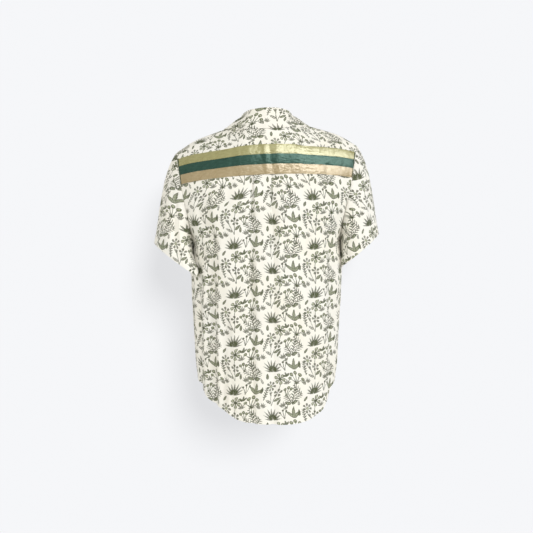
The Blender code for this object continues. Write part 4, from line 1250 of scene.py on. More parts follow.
def yoke_points(side, rise):
    """The yoke at given sides. rise is millimetres up from the back seam where it is under the
    ribbons' height, and beyond that it goes evenly on to the neck or the front seam."""
    seam_z = yoke_seam_z(side)
    below = body_point(BACK_SECTIONS, side, seam_z - BELOW_SEAM)
    start = body_point(BACK_SECTIONS, side, seam_z)
    low, high = strand_table(YOKE_STRANDS, side)
    strands = np.stack((below, start, low, high, top_points(side, 0, NECK_POINT)))
    skipped = np.linalg.norm(start - below, axis=-1)[:, None]
    top = fine_strands(strands)[1][-1][:, None] - skipped
    ribbons = 3.0 * RIBBON_WIDTH
    lengths = np.where(rise <= ribbons, rise, ribbons + (top - ribbons) * (rise / ribbons - 1.0))
    return resampled(strands, np.minimum(lengths, top) + skipped)


def yoke_ripple(grid, rise):
    """Height of the yoke's upright ripples, which fade towards the shoulder."""
    x = grid[..., 0] + RIPPLE_SLANT * rise
    total = 0.0
    for middle, reach, high, top in YOKE_RIPPLES:
        fades = 1.0 - ease(rise, 0.55 * top, top)
        total = total + high * np.exp(-((x - middle) / reach) ** 2) * fades
    return total


neck_sides = np.linspace(0.0, 0.5, NECK_STEPS + 1)
seam_sides = np.linspace(0.5, 1.0, SEAM_STEPS + 1)
half_sides = np.concatenate((neck_sides, seam_sides[1:]))
yoke_sides = np.concatenate((-half_sides[:0:-1], half_sides))
rise = np.linspace(0.0, 6.0 * RIBBON_WIDTH, YOKE_ROWS)[None]
plain_yoke = yoke_points(yoke_sides, np.tile(rise, (len(yoke_sides), 1)))
yoke = leaned(plain_yoke)
yoke_normals = normals_of(yoke, 1.0)
round_mm = from_middle(run_along(yoke))
from_seam = run_along(yoke, 1)
to_top = from_seam[:, -1:] - from_seam
from_side = from_ends(round_mm)
yoke_flat = np.stack((round_mm, YOKE_SEAM_MID_Z + from_seam), axis=-1)
calm = ease(from_seam, 0.0, 6.0) * ease(to_top, 0.0, 12.0) * ease(from_side, 0.0, 10.0)
lift = yoke_ripple(yoke, rise) * calm
lift += seam_relief(from_side) + seam_relief(to_top)
yoke = yoke + yoke_normals * lift[..., None]
cloth_shell("yoke", yoke, yoke_flat, 1.0, "laid")
shoulder, shoulder_normals = line_on(yoke, yoke_normals, to_top, SHOULDER_STITCH)
for hand, part in (("left", slice(None, SEAM_STEPS)), ("right", slice(-SEAM_STEPS, None))):
    row_of_stitches("stitches_shoulder_" + hand, shoulder[part], shoulder_normals[part],
                    cream_thread)


# ---- Fronts ----
# Two panels from the yoke's front seams and the neck to the hem. The wearer's left one laps over
# the right one by its turned edge, and the right one is let in a little where it goes under.
CHEST_Z = -200.0
BELOW_CHEST = 50.0
CHEST_ROW = 60
CHEST_ROWS = 31
FRONT_ROWS = 141
LAP = 15.0
LAP_STEPS = 8
FRONT_TURN = 30.0
FRONT_EDGE_STITCH = 3.0
LAP_STEP = 1.9
LAP_STEP_X = (19.0, 37.0)
CALM_EDGE = 40.0

# Millimetres in a whole side, at the neck and from the chest down, which turn the lap into sides
LAP_SIDES = (190.0, 280.0)

# How far the print is moved on each panel (mm), because the two are cut from different places
PRINT_SHIFT = {"left": 0.0, "right": 37.0}

# Level sections of the two fronts together, with the same columns as those of the back
FRONT_SECTIONS = (
    (-120.0, 188.0, 92.0, 62.0, 52.0, 0.00),
    (-165.0, 187.0, 114.0, 63.0, 57.0, 0.00),
    (-200.0, 186.0, 127.0, 60.0, 64.0, 0.00),
    (-235.0, 186.0, 133.0, 46.0, 73.0, 0.06),
    (-262.0, 188.0, 135.0, 22.0, 83.0, 0.19),
    (-275.0, 188.0, 135.0, 0.0, 90.0, 0.31),
    (-330.0, 194.5, 134.0, 0.0, 90.0, 0.28),
    (-400.0, 193.0, 130.0, 0.0, 90.0, 0.25),
    (-450.0, 190.0, 127.0, 0.0, 90.0, 0.20),
    (-520.0, 186.0, 124.0, 0.0, 90.0, 0.15),
    (-575.0, 183.0, 121.0, 0.0, 90.0, 0.12),
    (-630.0, 177.0, 118.0, 0.0, 90.0, 0.10),
    (-720.0, 174.0, 114.0, 0.0, 90.0, 0.08),
)
FRONT_STRANDS = (
    (0.00, (0.0, 62.0, -83.0), (0.0, 98.0, -140.0)),
    (0.25, (36.0, 54.0, -58.0), (45.0, 94.0, -128.0)),
    (0.50, (66.0, 40.0, -15.0), (84.0, 89.0, -98.0)),
    (0.75, (135.0, 52.0, -52.0), (142.0, 84.0, -118.0)),
    (1.00, (193.0, 58.0, -98.0), (187.0, 65.0, -148.0)),
)
FRONT_FOLDS = (
    (-190.0, -230.0, -150.0, -560.0, 5.0, 26.0),
    (-92.0, -300.0, -84.0, -670.0, 5.0, 24.0),
    (-215.0, -320.0, -214.0, -600.0, 4.0, 22.0),
    (190.0, -235.0, 146.0, -580.0, 5.0, 26.0),
    (84.0, -280.0, 92.0, -660.0, 5.0, 24.0),
    (218.0, -330.0, 212.0, -600.0, 4.0, 22.0),
    (44.0, -430.0, 48.0, -680.0, 3.0, 18.0),
)
FRONT_CREASES = (
    (-120.0, -215.0, -96.0, -330.0, 1.0, 9.0),
    (-160.0, -205.0, -128.0, -320.0, 1.1, 9.0),
    (124.0, -215.0, 98.0, -330.0, 1.0, 9.0),
    (164.0, -205.0, 130.0, -320.0, 1.1, 9.0),
    (-52.0, -330.0, -46.0, -560.0, 0.9, 10.0),
)


def front_grid(lap_side):
    """A whole front: columns from its lapped edge to the armhole, rows from neck to hem. It
    gives the grid and the number of rows that are above the underarm."""
    lap = np.linspace(-LAP, 0.0, LAP_STEPS + 1)[:-1]
    side = np.concatenate((lap / LAP_SIDES[0], half_sides)) * lap_side
    end = top_points(side, NECK_POINT, len(NECK_RING) - 1)
    low, high = strand_table(FRONT_STRANDS, side)
    side = np.concatenate((lap / LAP_SIDES[1], half_sides)) * lap_side
    chest_z = np.full_like(side, CHEST_Z)
    chest = body_point(FRONT_SECTIONS, side, chest_z)
    below = body_point(FRONT_SECTIONS, side, chest_z - BELOW_CHEST)
    strands = np.stack((end, low, high, chest, below))
    whole = fine_strands(strands[:4])[1][-1]
    upper = resampled(strands, whole[:, None] * np.linspace(0.0, 1.0, CHEST_ROW + 1)[None, :-1])
    side = side[:, None]
    level_z = np.linspace(CHEST_Z, UNDERARM_Z, CHEST_ROWS)[None, :-1]
    share = np.linspace(0.0, 1.0, FRONT_ROWS)[None]
    z = np.concatenate((
        np.broadcast_to(level_z, (len(side), level_z.shape[1])),
        UNDERARM_Z + (hem_height(side, True) - UNDERARM_Z) * share), axis=1)
    side = np.broadcast_to(side, z.shape)
    extra = creases(FRONT_CREASES, side * reach_of(FRONT_SECTIONS, z), z)
    lower = sunk_body(FRONT_SECTIONS, FRONT_FOLDS, side, z, 1.0, extra)
    return np.concatenate((upper, lower), axis=1), upper.shape[1] + level_z.shape[1]


fronts, plain_fronts = {}, {}
for hand, way in (("left", -1.0), ("right", 1.0)):
    plain_fronts[hand] = front_grid(way)
    grid = leaned(plain_fronts[hand][0])
    normals = normals_of(grid, way)
    level_mm, slant_mm = run_along(grid, keep=(1.0, 1.0, 0.0)), run_along(grid)
    above_chest = np.arange(grid.shape[1]) < CHEST_ROW
    round_mm = np.where(above_chest, slant_mm, level_mm)
    round_mm = (round_mm - round_mm[LAP_STEPS]) * way
    from_top = run_along(grid, 1)
    chest_z = grid[:, CHEST_ROW:CHEST_ROW + 1, 2]
    up = chest_z + from_top[:, CHEST_ROW:CHEST_ROW + 1] - from_top
    flat_map = np.stack((PRINT_SHIFT[hand] - round_mm, np.where(above_chest, up, grid[..., 2])),
                        axis=-1)
    from_hem = from_top[:, -1:] - from_top
    from_edge, from_side = slant_mm, slant_mm[-1:] - slant_mm
    if hand == "right":
        near = 1.0 - ease(grid[..., 0], *LAP_STEP_X)
        grid = grid - normals * (LAP_STEP * near)[..., None]
    calm = (ease(from_top, 0.0, CALM_SEAM) * ease(from_hem, 0.0, CALM_HEM)
            * ease(from_side, 0.0, CALM_SEAM) * ease(from_edge, 0.0, CALM_EDGE))
    lift = waves(round_mm + 31.0, flat_map[..., 1], 1.0) * calm
    lift += seam_relief(from_side) + seam_relief(from_top) + hem_relief(from_hem, BODY_HEM)
    lift += hem_relief(from_edge, FRONT_TURN)
    grid = grid + normals * lift[..., None]
    thick = np.maximum(turned_thick(from_hem, BODY_HEM), turned_thick(from_edge, FRONT_TURN))
    cloth_shell("front_" + hand, grid, flat_map, way, "hung", ["shirt_yoke"], thick=thick)
    row_of_stitches(f"stitches_front_{hand}_hem",
                    *line_on(grid, normals, from_hem, BODY_HEM), cream_thread)
    across = [np.swapaxes(values, 0, 1) for values in (grid, normals, from_edge)]
    for name, inset in (("edge", FRONT_EDGE_STITCH), ("turn", FRONT_TURN)):
        row_of_stitches(f"stitches_front_{hand}_{name}", *line_on(*across, inset), cream_thread)
    fronts[hand] = (grid, normals)


# ---- Sleeves ----
# Short set-in sleeves, each a tube from the armhole seam to a hem that is turned up by 20 mm and
# stitched. They hang as they do on an arm, with drag folds at the back of the armhole.
HEM_OUTER = (290.0, 0.0, -259.0)
HEM_INNER = (199.0, 0.0, -336.0)
HEM_HALF_DEPTH = 68.0
CAP_WAY = (0.62, 0.0, -0.78)
UNDERARM_WAY = (0.30, 0.0, -0.95)
HEM_WAY = (0.20, 0.0, -0.98)
CAP_HANDLE = 0.27
SLEEVE_LAP = {"left": 66.0, "right": 26.0}
LAP_WAY = (-0.5, -1.0, -0.25)
SLEEVE_CLEARANCE = 2.0
CLEAR_FROM = 0.33
CLEAR_ABOVE_UNDERARM = 30.0
SLEEVE_HEM = 20.0
SLEEVE_STEPS = 220
SLEEVE_ROWS = 91

# Folds of a sleeve: share of the way round from the underarm at the armhole and at the hem,
# where along the sleeve it starts and ends, how deep and how wide (shares of the way round)
SLEEVE_FOLDS = {
    "left": (
        (0.30, 0.20, 0.10, 0.85, 6.0, 0.045),
        (0.22, 0.13, 0.30, 1.00, 1.0, 0.040),
        (0.40, 0.40, 0.45, 1.00, 3.0, 0.050),
        (0.74, 0.82, 0.10, 0.85, 5.0, 0.050),
        (0.345, 0.27, 0.02, 0.55, 1.6, 0.016),
        (0.265, 0.175, 0.08, 0.60, 1.6, 0.016),
        (0.44, 0.45, 0.02, 0.35, 1.2, 0.014),
    ),
    "right": (
        (0.30, 0.26, 0.15, 0.90, 4.0, 0.045),
        (0.36, 0.37, 0.40, 1.00, 3.0, 0.050),
        (0.76, 0.84, 0.10, 0.85, 5.0, 0.050),
        (0.31, 0.24, 0.02, 0.50, 1.4, 0.016),
        (0.42, 0.43, 0.02, 0.35, 1.0, 0.014),
    ),
}


def outside_body(points, clearance):
    """Points below the underarm that would lie inside the body, moved out of its section."""
    x, y, z = np.moveaxis(points, -1, 0)
    level = np.minimum(z, UNDERARM_Z)
    half, deep, _, _, full = np.abs(section_values(BACK_SECTIONS, level))
    deep = deep * (1.0 + 0.3 * full)
    ratio = np.hypot(x / half, y / deep)
    wanted = 1.0 + clearance / half
    near = z < UNDERARM_Z + CLEAR_ABOVE_UNDERARM
    grow = np.where(near & (ratio < wanted), wanted / ratio, 1.0)
    return np.stack([x * grow, y * grow, z], axis=-1)


def sleeve_grid(ring, hand, rows):
    """Sleeve from its armhole ring, which starts at the underarm, to its hem: every strand is a
    cubic curve that leaves the ring and comes to the hem in given directions."""
    steps = np.linalg.norm(np.diff(ring, axis=0, append=ring[:1]), axis=1)
    travelled = np.concatenate(([0.0], np.cumsum(steps)[:-1])) / steps.sum()
    top = travelled[np.argmax(ring[:, 2])]
    share = np.where(travelled < top, 0.5 * travelled / top,
                     0.5 + 0.5 * (travelled - top) / (1.0 - top))
    angle = 2.0 * np.pi * share[:, None, None]
    outer, inner = np.array(HEM_OUTER), np.array(HEM_INNER)
    inward = (0.5 + 0.5 * np.cos(angle)) ** 2
    hem = (outer + inner) / 2 - (outer - inner) / 2 * np.cos(angle)
    hem = hem + np.array((0.0, -HEM_HALF_DEPTH, 0.0)) * np.sin(angle)
    hem = hem + np.array(LAP_WAY) * SLEEVE_LAP[hand] * inward
    cap_way, low_way, arrive = np.array((CAP_WAY, UNDERARM_WAY, HEM_WAY))
    leave = cap_way + (low_way - cap_way) * inward
    start = ring[:, None]
    handle = CAP_HANDLE * np.linalg.norm(hem - start, axis=-1, keepdims=True)
    t = rows[None, :, None]
    curve = (1 - t) ** 3 * start + 3 * (1 - t) ** 2 * t * (start + leave * handle)
    curve = curve + 3 * (1 - t) * t**2 * (hem - arrive * handle) + t**3 * hem
    curve = outside_body(curve, SLEEVE_CLEARANCE * np.minimum(1.0, t[..., 0] / CLEAR_FROM))
    inward = unit(curve.mean(axis=0, keepdims=True) - curve)
    t = rows[None]
    depth = 0.0
    for begins, ends, t_start, t_end, deep, reach in SLEEVE_FOLDS[hand]:
        off = (share[:, None] - (begins + (ends - begins) * t)) / reach
        grown = ease(t, t_start - 0.1, t_start + 0.25) * (1.0 - ease(t, t_end - 0.15, t_end + 0.2))
        depth = depth + deep * cosine_hollow(off) * grown
    curve[:, 1:] += (inward * depth[..., None])[:, 1:]
    return curve


for hand, way, column in (("left", -1.0, 0), ("right", 1.0, -1)):
    plain_front, above_underarm = plain_fronts[hand]
    ring = np.concatenate((
        plain_back[column, ARMHOLE_ROW:0:-1],
        plain_yoke[column, :-1],
        plain_front[-1, :above_underarm])) * (way, 1.0, 1.0)
    ring = np.concatenate((ring, ring[:1]))
    travelled = run_along(ring)
    at = np.linspace(0.0, travelled[-1], SLEEVE_STEPS + 1)[:-1]
    ring = read_off(at, travelled, ring)
    grid = leaned(sleeve_grid(ring, hand, np.linspace(0.0, 1.0, SLEEVE_ROWS)) * (way, 1.0, 1.0))
    normals = normals_of(grid, -way, True)
    middle = grid.mean(axis=0)
    axis = (middle[-1] - middle[0]) / np.linalg.norm(middle[-1] - middle[0])
    whole = np.concatenate((grid, grid[:1]))
    steps = np.diff(whole, axis=0)
    steps -= (steps @ axis)[..., None] * axis
    round_mm = np.concatenate((
        np.zeros((1, SLEEVE_ROWS)), np.cumsum(np.linalg.norm(steps, axis=-1), axis=0)))
    round_mm -= round_mm[SLEEVE_STEPS // 2]
    flat_map = np.stack((round_mm * way, -(whole @ axis)), axis=-1)
    from_cap = run_along(grid, 1)
    from_hem = from_cap[:, -1:] - from_cap
    calm = ease(from_cap, 0.0, CALM_SEAM) * ease(from_hem, 0.0, SLEEVE_HEM)
    lift = waves(round_mm[:-1] * (1.0 - 2.0 * (at[:, None] > travelled[-1] / 2)),
                 from_cap * 2.0, 0.8) * calm
    lift += seam_relief(from_cap) * 1.5 + hem_relief(from_hem, SLEEVE_HEM)
    grid = grid + normals * lift[..., None]
    cloth_shell("sleeve_" + hand, grid, flat_map, -way, "hung",
                ["shirt_back", "shirt_yoke", "shirt_front_" + hand], closed=True,
                thick=turned_thick(from_hem, SLEEVE_HEM))
    line, line_normals = line_on(grid, normals, from_hem, SLEEVE_HEM)
    row_of_stitches("stitches_sleeve_" + hand, np.concatenate((line, line[:1])),
                    np.concatenate((line_normals, line_normals[:1])), cream_thread)


# ---- Collar ----
# A stand and a fall in one, folded over along the roll, with its points lying on the fronts. It
# is sewn into the neck seam and left open at the throat.
COLLAR_LIFT = 0.4
COLLAR_WALL = 1.0
COLLAR_THICK = 1.1
COLLAR_RESTS = 1.6
COLLAR_STITCH = 5.0
COLLAR_STEPS = 41
CREST_ROW = 28
COLLAR_HALF_SPREAD = 1.5

# From the centre back to the front end: the crest of the roll and the fall's free edge
COLLAR_ROWS = (
    ((0.0, -82.0, 56.0), (0.0, -106.0, 6.0)),
    ((27.0, -76.0, 56.0), (37.0, -101.0, 8.0)),
    ((46.0, -61.0, 55.5), (70.0, -86.0, 13.0)),
    ((58.0, -40.0, 54.0), (95.0, -56.0, 24.0)),
    ((63.0, -20.0, 51.0), (110.0, -22.0, 26.0)),
    ((62.0, -2.0, 45.0), (111.0, 14.0, 17.0)),
    ((56.0, 12.0, 33.0), (98.0, 50.0, -8.0)),
    ((43.0, 24.0, 13.0), (78.0, 64.0, -31.0)),
    ((24.0, 33.0, -7.0), (58.0, 73.0, -54.0)),
    ((5.0, 37.0, -16.0), (41.0, 77.0, -71.0)),
)

# Profile from the neck seam over the roll to the free edge, and the roll's first and last rows.
# Columns: share of the seam's point, share of the crest's (the rest is the edge's), and
# millimetres outwards and up from there.
COLLAR_PROFILE = (
    (1.00, 0.000, 0.0, 0.0),
    (0.55, 0.450, 0.5, 0.0),
    (0.00, 1.000, -2.4, -5.0),
    (0.00, 1.000, -2.2, -1.8),
    (0.00, 1.000, 0.0, 0.0),
    (0.00, 1.000, 2.4, -1.2),
    (0.00, 1.000, 3.6, -4.0),
    (0.00, 0.700, 3.1, 0.9),
    (0.00, 0.375, 1.9, 1.1),
    (0.00, 0.000, 0.0, 0.0),
)
COLLAR_ROLL = (2.0, 6.0)


def collar_grid():
    """Collar: columns from the left front end round the back, rows up the stand and down."""
    sides = np.linspace(0.0, 1.0, COLLAR_STEPS)
    ring = np.array(NECK_RING)
    seam = np.concatenate((along(ring[:NECK_POINT + 1], sides),
                           along(ring[NECK_POINT:], sides)[1:])) + (0.0, 0.0, COLLAR_LIFT)
    knots = np.arange(float(len(COLLAR_ROWS)))
    at = np.concatenate((sides * NECK_POINT, NECK_POINT + sides[1:] * (knots[-1] - NECK_POINT)))
    crest, edge = np.moveaxis(through(knots, COLLAR_ROWS, at), 1, 0)
    out = unit((edge - crest) * (1.0, 1.0, 0.0))
    up = np.array((0.0, 0.0, 1.0))
    half = np.stack([
        seam * of_seam + crest * of_crest + edge * (1.0 - of_seam - of_crest)
        + out * wide + up * high
        for of_seam, of_crest, wide, high in COLLAR_PROFILE], axis=1)
    half[-1, :, 0] = np.maximum(half[-1, :, 0], COLLAR_HALF_SPREAD)
    whole = np.concatenate((half[:0:-1] * (-1.0, 1.0, 1.0), half))
    first, last = COLLAR_ROLL
    knots = np.arange(float(len(COLLAR_PROFILE)))
    profile = np.concatenate((np.linspace(0.0, first, 13), np.linspace(first, last, 25)[1:],
                              np.linspace(last, knots[-1], 25)[1:]))
    return np.moveaxis(through(knots, np.moveaxis(whole, 1, 0), profile), 0, 1)


collar = leaned(collar_grid())
collar = collar - normals_of(collar, 1.0) * COLLAR_WALL

# The fall is let down until its free edge lies on the yoke and the fronts
under, under_normals = (
    np.concatenate([values.reshape(-1, 3) for values in (
        of_yoke, *(front[which][:, :CHEST_ROW] for front in fronts.values()))])
    for which, of_yoke in enumerate((yoke, yoke_normals)))
edge = collar[:, -1]
nearest = np.linalg.norm(edge[:, None] - under[None], axis=-1).argmin(axis=1)
clear = ((edge - under[nearest]) * under_normals[nearest]).sum(axis=-1)
from_crest = ease(np.arange(collar.shape[1], dtype=float), CREST_ROW, collar.shape[1] - 1.0)
down = under_normals[nearest] * (clear - COLLAR_RESTS)[:, None]
collar = collar - down[:, None] * from_crest[None, :, None]

collar_normals = normals_of(collar, -1.0)
from_neck = run_along(collar, 1)
to_edge = from_neck[:, -1:] - from_neck
round_mm = run_along(collar)
to_end = from_ends(round_mm)
at_crest = from_middle(round_mm[:, CREST_ROW])[:, None]
collar_flat = np.stack((np.broadcast_to(at_crest, from_neck.shape), -from_neck), axis=-1)
lift = hem_relief(to_edge, COLLAR_STITCH) + hem_relief(to_end, COLLAR_STITCH)
lift += (waves(collar_flat[..., 0], from_neck, 0.5) * ease(from_neck, 10.0, 40.0)
         * ease(to_edge, 0.0, 12.0))
collar = collar + collar_normals * lift[..., None]
cloth_shell("collar", collar, collar_flat, -1.0, "folded", ["shirt_yoke"], thick=COLLAR_THICK,
            doubled=True)
row_of_stitches("stitches_collar_edge",
                *line_on(collar, collar_normals, to_edge, COLLAR_STITCH), cream_thread)


# ---- Ribbons ----
# Three satin ribbons laid side by side on the yoke from armhole to armhole, the tan one's lower
# edge on the yoke seam. Each is stitched down along both edges, and their ends are overcast in
# dark green thread, which runs on a little down the back.
RIBBON_GAP = 0.15
RIBBON_INSET = 2.0
RIBBON_HEIGHT = 0.9
RIBBON_CROWN = 0.30
RIBBON_LOWEST = 0.5
RIBBON_THICK = 0.35
RIBBON_STEPS = 420
SIDE_STEPS = 361

# Overcasting: how far it is from one stitch to the next, how far each reaches out over the edge
# and in from it, how far its outer end dips, the thread's radius, and how far it runs on (mm)
OVERCAST_PITCH = 1.05
OVERCAST_OUT = 0.4
OVERCAST_IN = 3.8
OVERCAST_DROP = 0.15
OVERCAST_THREAD = 0.36
OVERCAST_RUNS_ON = 8.0

# Rows of a ribbon, in millimetres from its edge to its middle, with one under the stitches
RIBBON_ROWS = (0.0, 0.6, 1.3, 2.0, 3.2, 5.4, 8.4, 12.55)
STITCHED_ROW = 2

# Puckers along a ribbon: height, length, slant (shares of a length for each mm up), start
RIBBON_PUCKERS = (
    (0.075, 8.3, 0.045, 0.4), (0.10, 12.7, -0.030, 2.2), (0.14, 19.1, 0.020, 4.1),
    (0.20, 31.0, -0.012, 1.0),
)

# How deep and how wide a line of stitches draws a ribbon in (mm)
RIBBON_DRAW, RIBBON_DRAW_WIDE = 0.12, 0.8

# Satin's floats and crinkles (patches to a metre along the ribbon and across it), its cloudy
# patches to a metre, and how high the crinkles stand (metres)
FLOATS = (60.0, 3000.0)
CRINKLES = (95.0, 210.0)
CLOUDS = 26.0
SATIN_HIGH = 0.0008


def satin_material(name, colour, light, metallic, specular):
    """Satin: long floats of thread along the ribbon, which draw its gloss out across them, and small
    crinkles that break it up. Its colour turns to the lighter one where floats, crinkles and cloudy
    patches rise: painted sheen on the floats and crinkles, and random tone in the clouds."""
    material, tree, shader = new_material(name, colour, 0.3)
    place = cloth_map(tree)
    floats = drawn_out(tree, place, *FLOATS)
    crinkle = drawn_out(tree, place, *CRINKLES)
    clouds = patches(tree, place, CLOUDS)
    # Painted sheen: the colour turns lighter where the floats and crinkles rise, and in random cloudy patches
    shade = (floats * 0.3 + clouds * 0.6 + crinkle * 0.9).between(0.60, 1.20)
    tree.links.new(mixed(shade, colour, light), shader.inputs["Base Color"])
    send(clouds * 0.12 + 0.22, shader.inputs["Roughness"])
    tree.links.new(raised(floats * 0.07 + crinkle, SATIN_HIGH), shader.inputs["Normal"])
    shader.inputs["Metallic"].default_value = metallic
    shader.inputs["Specular IOR Level"].default_value = specular
    shader.inputs["Anisotropic"].default_value = 0.5
    return material


green_thread = thread_material("green_thread", (0.050, 0.085, 0.035, 1.0))


def overcast(name, edge, inward, normals):
    """Slanting stitches over an edge, from the cloth just outside it to some way inside it."""
    travelled = run_along(edge)
    at = np.arange(0.5 * OVERCAST_PITCH, travelled[-1], OVERCAST_PITCH)
    outer = edge - inward * OVERCAST_OUT - normals * OVERCAST_DROP
    inner = edge + inward * OVERCAST_IN
    capsules(name, read_off(at, travelled, outer),
             read_off(at + 0.5 * OVERCAST_PITCH, travelled, inner),
             read_off(at, travelled, normals), OVERCAST_THREAD, green_thread)


rows = np.array(RIBBON_ROWS)
rows = np.concatenate((rows, RIBBON_WIDTH - 2.0 * RIBBON_GAP - rows[::-1][1:]))
up = rows[None] / rows[-1]

# Each ribbon: its name, its colour, a lighter colour for its painted sheen and its thread, and how
# metallic and how glossy it is
for number, (name, colour, light, metallic, specular) in enumerate((
        ("tan", (0.375, 0.285, 0.145, 1.0), (0.475, 0.380, 0.225, 1.0), 0.10, 0.75),
        ("teal", (0.026, 0.068, 0.050, 1.0), (0.045, 0.108, 0.084, 1.0), 0.20, 0.20),
        ("olive", (0.315, 0.290, 0.115, 1.0), (0.425, 0.405, 0.185, 1.0), 0.10, 0.80))):
    ribbon_rise = number * RIBBON_WIDTH + RIBBON_GAP + rows[None]
    grid = leaned(yoke_points(np.linspace(-1.0, 1.0, SIDE_STEPS),
                              np.tile(ribbon_rise, (SIDE_STEPS, 1))))
    normals = normals_of(grid, 1.0)
    run = run_along(grid)
    share = np.linspace(0.0, 1.0, RIBBON_STEPS + 1)[:, None]
    wanted = RIBBON_INSET + (run[-1:] - 2.0 * RIBBON_INSET) * share
    grid, normals = (np.stack([
        read_off(wanted[:, row], run[:, row], values[:, row]) for row in range(len(rows))], axis=1)
        for values in (grid, normals))
    across = from_middle(run_along(grid))

    # The puckers start elsewhere on each ribbon, and come and go along it
    pucker = sum(
        high * np.sin(2.0 * np.pi * (across / length + rows[None] * slant) + start + 1.7 * number)
        for high, length, slant, start in RIBBON_PUCKERS)
    pucker *= 0.65 + 0.35 * np.sin(across / 15.0 + 2.0 * number)
    height = RIBBON_HEIGHT + RIBBON_CROWN * np.sin(np.pi * up) ** 0.6
    height = height + yoke_ripple(grid, ribbon_rise) + pucker
    for stitched in (rows[STITCHED_ROW], rows[-1 - STITCHED_ROW]):
        height -= RIBBON_DRAW * np.exp(-((rows[None] - stitched) / RIBBON_DRAW_WIDE) ** 2)
    grid = grid + normals * np.maximum(height, RIBBON_LOWEST)[..., None]
    flat_map = np.stack((across, np.broadcast_to(rows[None], across.shape)), axis=-1)
    satin = satin_material("satin_" + name, colour, light, metallic, specular)
    cloth_shell("ribbon_" + name, grid, flat_map, 1.0, "laid", ["shirt_yoke"],
                thick=RIBBON_THICK, material=satin, slot=name + "_satin")
    thread = thread_material(name + "_thread", light)
    for edge, row in (("lower", STITCHED_ROW), ("upper", -1 - STITCHED_ROW)):
        row_of_stitches(f"stitches_ribbon_{name}_{edge}", grid[:, row], normals[:, row], thread)
    for hand, end, inner in (("left", 0, 1), ("right", -1, -2)):
        overcast(f"overcast_{name}_{hand}", grid[end], unit(grid[inner] - grid[end]), normals[end])

# The overcasting runs on down the back from the tan ribbon's ends, beside the armhole seams
from_left = run_along(back)
back_across = [np.swapaxes(values, 0, 1) for values in (back, back_normals, from_left)]
below = run_along(back[:1], 1)[0] < OVERCAST_RUNS_ON
for hand, inset, way in (("left", RIBBON_INSET, 1.0),
                         ("right", from_left[-1, 0] - RIBBON_INSET, -1.0)):
    line, line_normals = (values[below] for values in line_on(*back_across, inset))
    inward = np.broadcast_to((way, 0.0, 0.0), line.shape)
    overcast("overcast_back_" + hand, line, inward, line_normals)


# ---- Buttons ----
# Four-hole shirt buttons of pale shell. Each stands on a short shank of thread, sewn through
# crosswise, and has come up through an upright stitched buttonhole in the left front.
BUTTON_TOP_Z = -66.0
BUTTON_PITCH = 98.0
BUTTON_COUNT = 6
BUTTON_SIDES = 96
BUTTON_STANDS = 1.0
HOLE_OUT = 1.2
HOLE_RADIUS = 0.55
HOLE_DEEP = 1.2
FACE_RADIUS = 2.5
FACE_HIGH = 1.5
SEWING_THREAD = 0.24
THREAD_APART = 0.22

# A button's profile, from the middle of its underside to the middle of its face: radius, height
BUTTON_PROFILE = (
    (0.3, 0.0), (3.4, 0.0), (4.6, 0.2), (5.25, 0.65), (5.5, 1.15), (5.45, 1.6), (5.15, 1.95),
    (4.75, 2.1), (4.3, 2.05), (3.9, 1.85), (3.5, 1.6), (3.0, 1.5), (2.6, 1.5),
)
FACE_RINGS = 19

# A buttonhole: how long it is, how far its middle is below the button's, its stitches on each
# side, their thread's radius, how far out and in they reach, and how far on each bar is (mm)
BUTTONHOLE_LONG = 14.0
BUTTONHOLE_BELOW = 3.0
BUTTONHOLE_STITCHES = 31
BUTTONHOLE_THREAD = 0.26
BUTTONHOLE_HALF = 1.7
BUTTONHOLE_SLIT = 0.25
BAR_BEYOND = 0.35

shell_white, tree, shader = new_material("button_shell", (0.80, 0.77, 0.68, 1.0), 0.22)
place = tree.nodes.new("ShaderNodeTexCoord").outputs["Object"]
clouds = patches(tree, place, 320.0, 3.0).between(0.3, 0.7)
tree.links.new(mixed(clouds, (0.70, 0.68, 0.60, 1.0), (0.88, 0.85, 0.77, 1.0)),
               shader.inputs["Base Color"])
shader.inputs["Coat Weight"].default_value = 0.4

line, line_normals = (values[LAP_STEPS][::-1] for values in fronts["left"])


def on_centre_line(z):
    """Places on the left front's centre line at some heights, with the cloth's normals."""
    return read_off(z, line[:, 2], line), read_off(z, line[:, 2], line_normals)


button_z = BUTTON_TOP_Z - BUTTON_PITCH * np.arange(BUTTON_COUNT)
profile = np.concatenate((BUTTON_PROFILE, np.stack(
    (np.linspace(FACE_RADIUS, 0.1, FACE_RINGS), np.full(FACE_RINGS, FACE_HIGH)), axis=-1)))
angle = np.linspace(0.0, 2.0 * np.pi, BUTTON_SIDES, endpoint=False)[:, None]
local_x, local_y = profile[:, 0] * np.cos(angle), profile[:, 0] * np.sin(angle)
to_hole = np.hypot(abs(local_x) - HOLE_OUT, abs(local_y) - HOLE_OUT)
on_face = np.arange(len(profile)) >= len(BUTTON_PROFILE)
in_hole = 1.0 - ease(to_hole, HOLE_RADIUS - 0.15, HOLE_RADIUS + 0.1)
local_z = profile[:, 1] - on_face * HOLE_DEEP * in_hole
first = np.arange(BUTTON_SIDES) * len(profile)
faces = grid_faces(BUTTON_SIDES, len(profile), True).tolist()
faces += [first[::-1].tolist(), (first + len(profile) - 1).tolist()]

centres, ups = on_centre_line(button_z)
ups = unit(ups)
acrosses = unit(np.cross((0.0, 0.0, 1.0), ups))
downs = np.cross(ups, acrosses)
for number in range(BUTTON_COUNT):
    points = (centres[number] + ups[number] * (local_z + BUTTON_STANDS)[..., None]
              + acrosses[number] * local_x[..., None] + downs[number] * local_y[..., None])
    piece = new_piece(f"shirt_button_{number + 1}", points, faces, shell_white)
    piece.data.set_sharp_from_angle(angle=np.radians(50.0))
    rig.ride(piece, "root")
    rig.replaces(piece, f"button_{number + 1}")
    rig.slot(piece, "button")

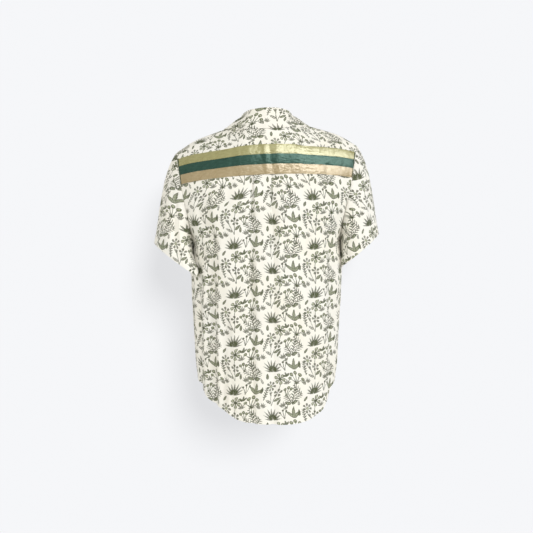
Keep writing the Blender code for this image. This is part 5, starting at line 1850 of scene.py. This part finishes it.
# Three threads each way between opposite holes of a face, and four down the shank: the places
# of both ends, across the button, down it and up from its underside
ends = [((-HOLE_OUT + shift, -way * HOLE_OUT - way * shift, high),
         (HOLE_OUT + shift, way * HOLE_OUT - way * shift, high))
        for way, high in ((1.0, 1.65), (-1.0, 1.85))
        for shift in (-THREAD_APART, 0.0, THREAD_APART)]
ends += [((x, y, -1.1), (x, y + 0.01, 0.2)) for x in (-0.5, 0.5) for y in (-0.5, 0.5)]
ends = np.array(ends)
axes = np.stack((acrosses, downs, ups), axis=1)
placed = np.einsum("sek,bkx->ebsx", ends, axes) + centres[None, :, None]
placed = (placed + (ups * BUTTON_STANDS)[None, :, None]).reshape(2, -1, 3)
facing = np.tile(np.array((2,) * 6 + (0,) * 4), BUTTON_COUNT)
capsules("button_threads", placed[0], placed[1],
         axes[np.repeat(np.arange(BUTTON_COUNT), len(ends)), facing], SEWING_THREAD, cream_thread)

# A buttonhole: stitches laid closely across both its edges, and a bar at each end
spread = np.linspace(-0.5, 0.5, BUTTONHOLE_STITCHES) * BUTTONHOLE_LONG
stitch_z = (button_z[:, None] - BUTTONHOLE_BELOW + spread).ravel()
bars = np.array((-0.5, 0.5)) * (BUTTONHOLE_LONG + 2.0 * BAR_BEYOND)
bar_z = (button_z[:, None] - BUTTONHOLE_BELOW + bars).ravel()
heights = np.concatenate((stitch_z, stitch_z, bar_z))
counts = (len(stitch_z), len(stitch_z), len(bar_z))
starts = np.repeat((-BUTTONHOLE_HALF, BUTTONHOLE_SLIT, -BUTTONHOLE_HALF), counts)[:, None]
ends = np.repeat((-BUTTONHOLE_SLIT, BUTTONHOLE_HALF, BUTTONHOLE_HALF), counts)[:, None]
at, facing = on_centre_line(heights)
sideways = unit(np.cross((0.0, 0.0, 1.0), facing))
capsules("buttonholes", at + sideways * starts, at + sideways * ends, facing, BUTTONHOLE_THREAD,
         cream_thread)

low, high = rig.bounds()
with open("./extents.json", "w") as sizes:
    json.dump({"cad": [list(cad_low), list(cad_high)], "visual": [list(low), list(high)]}, sizes)
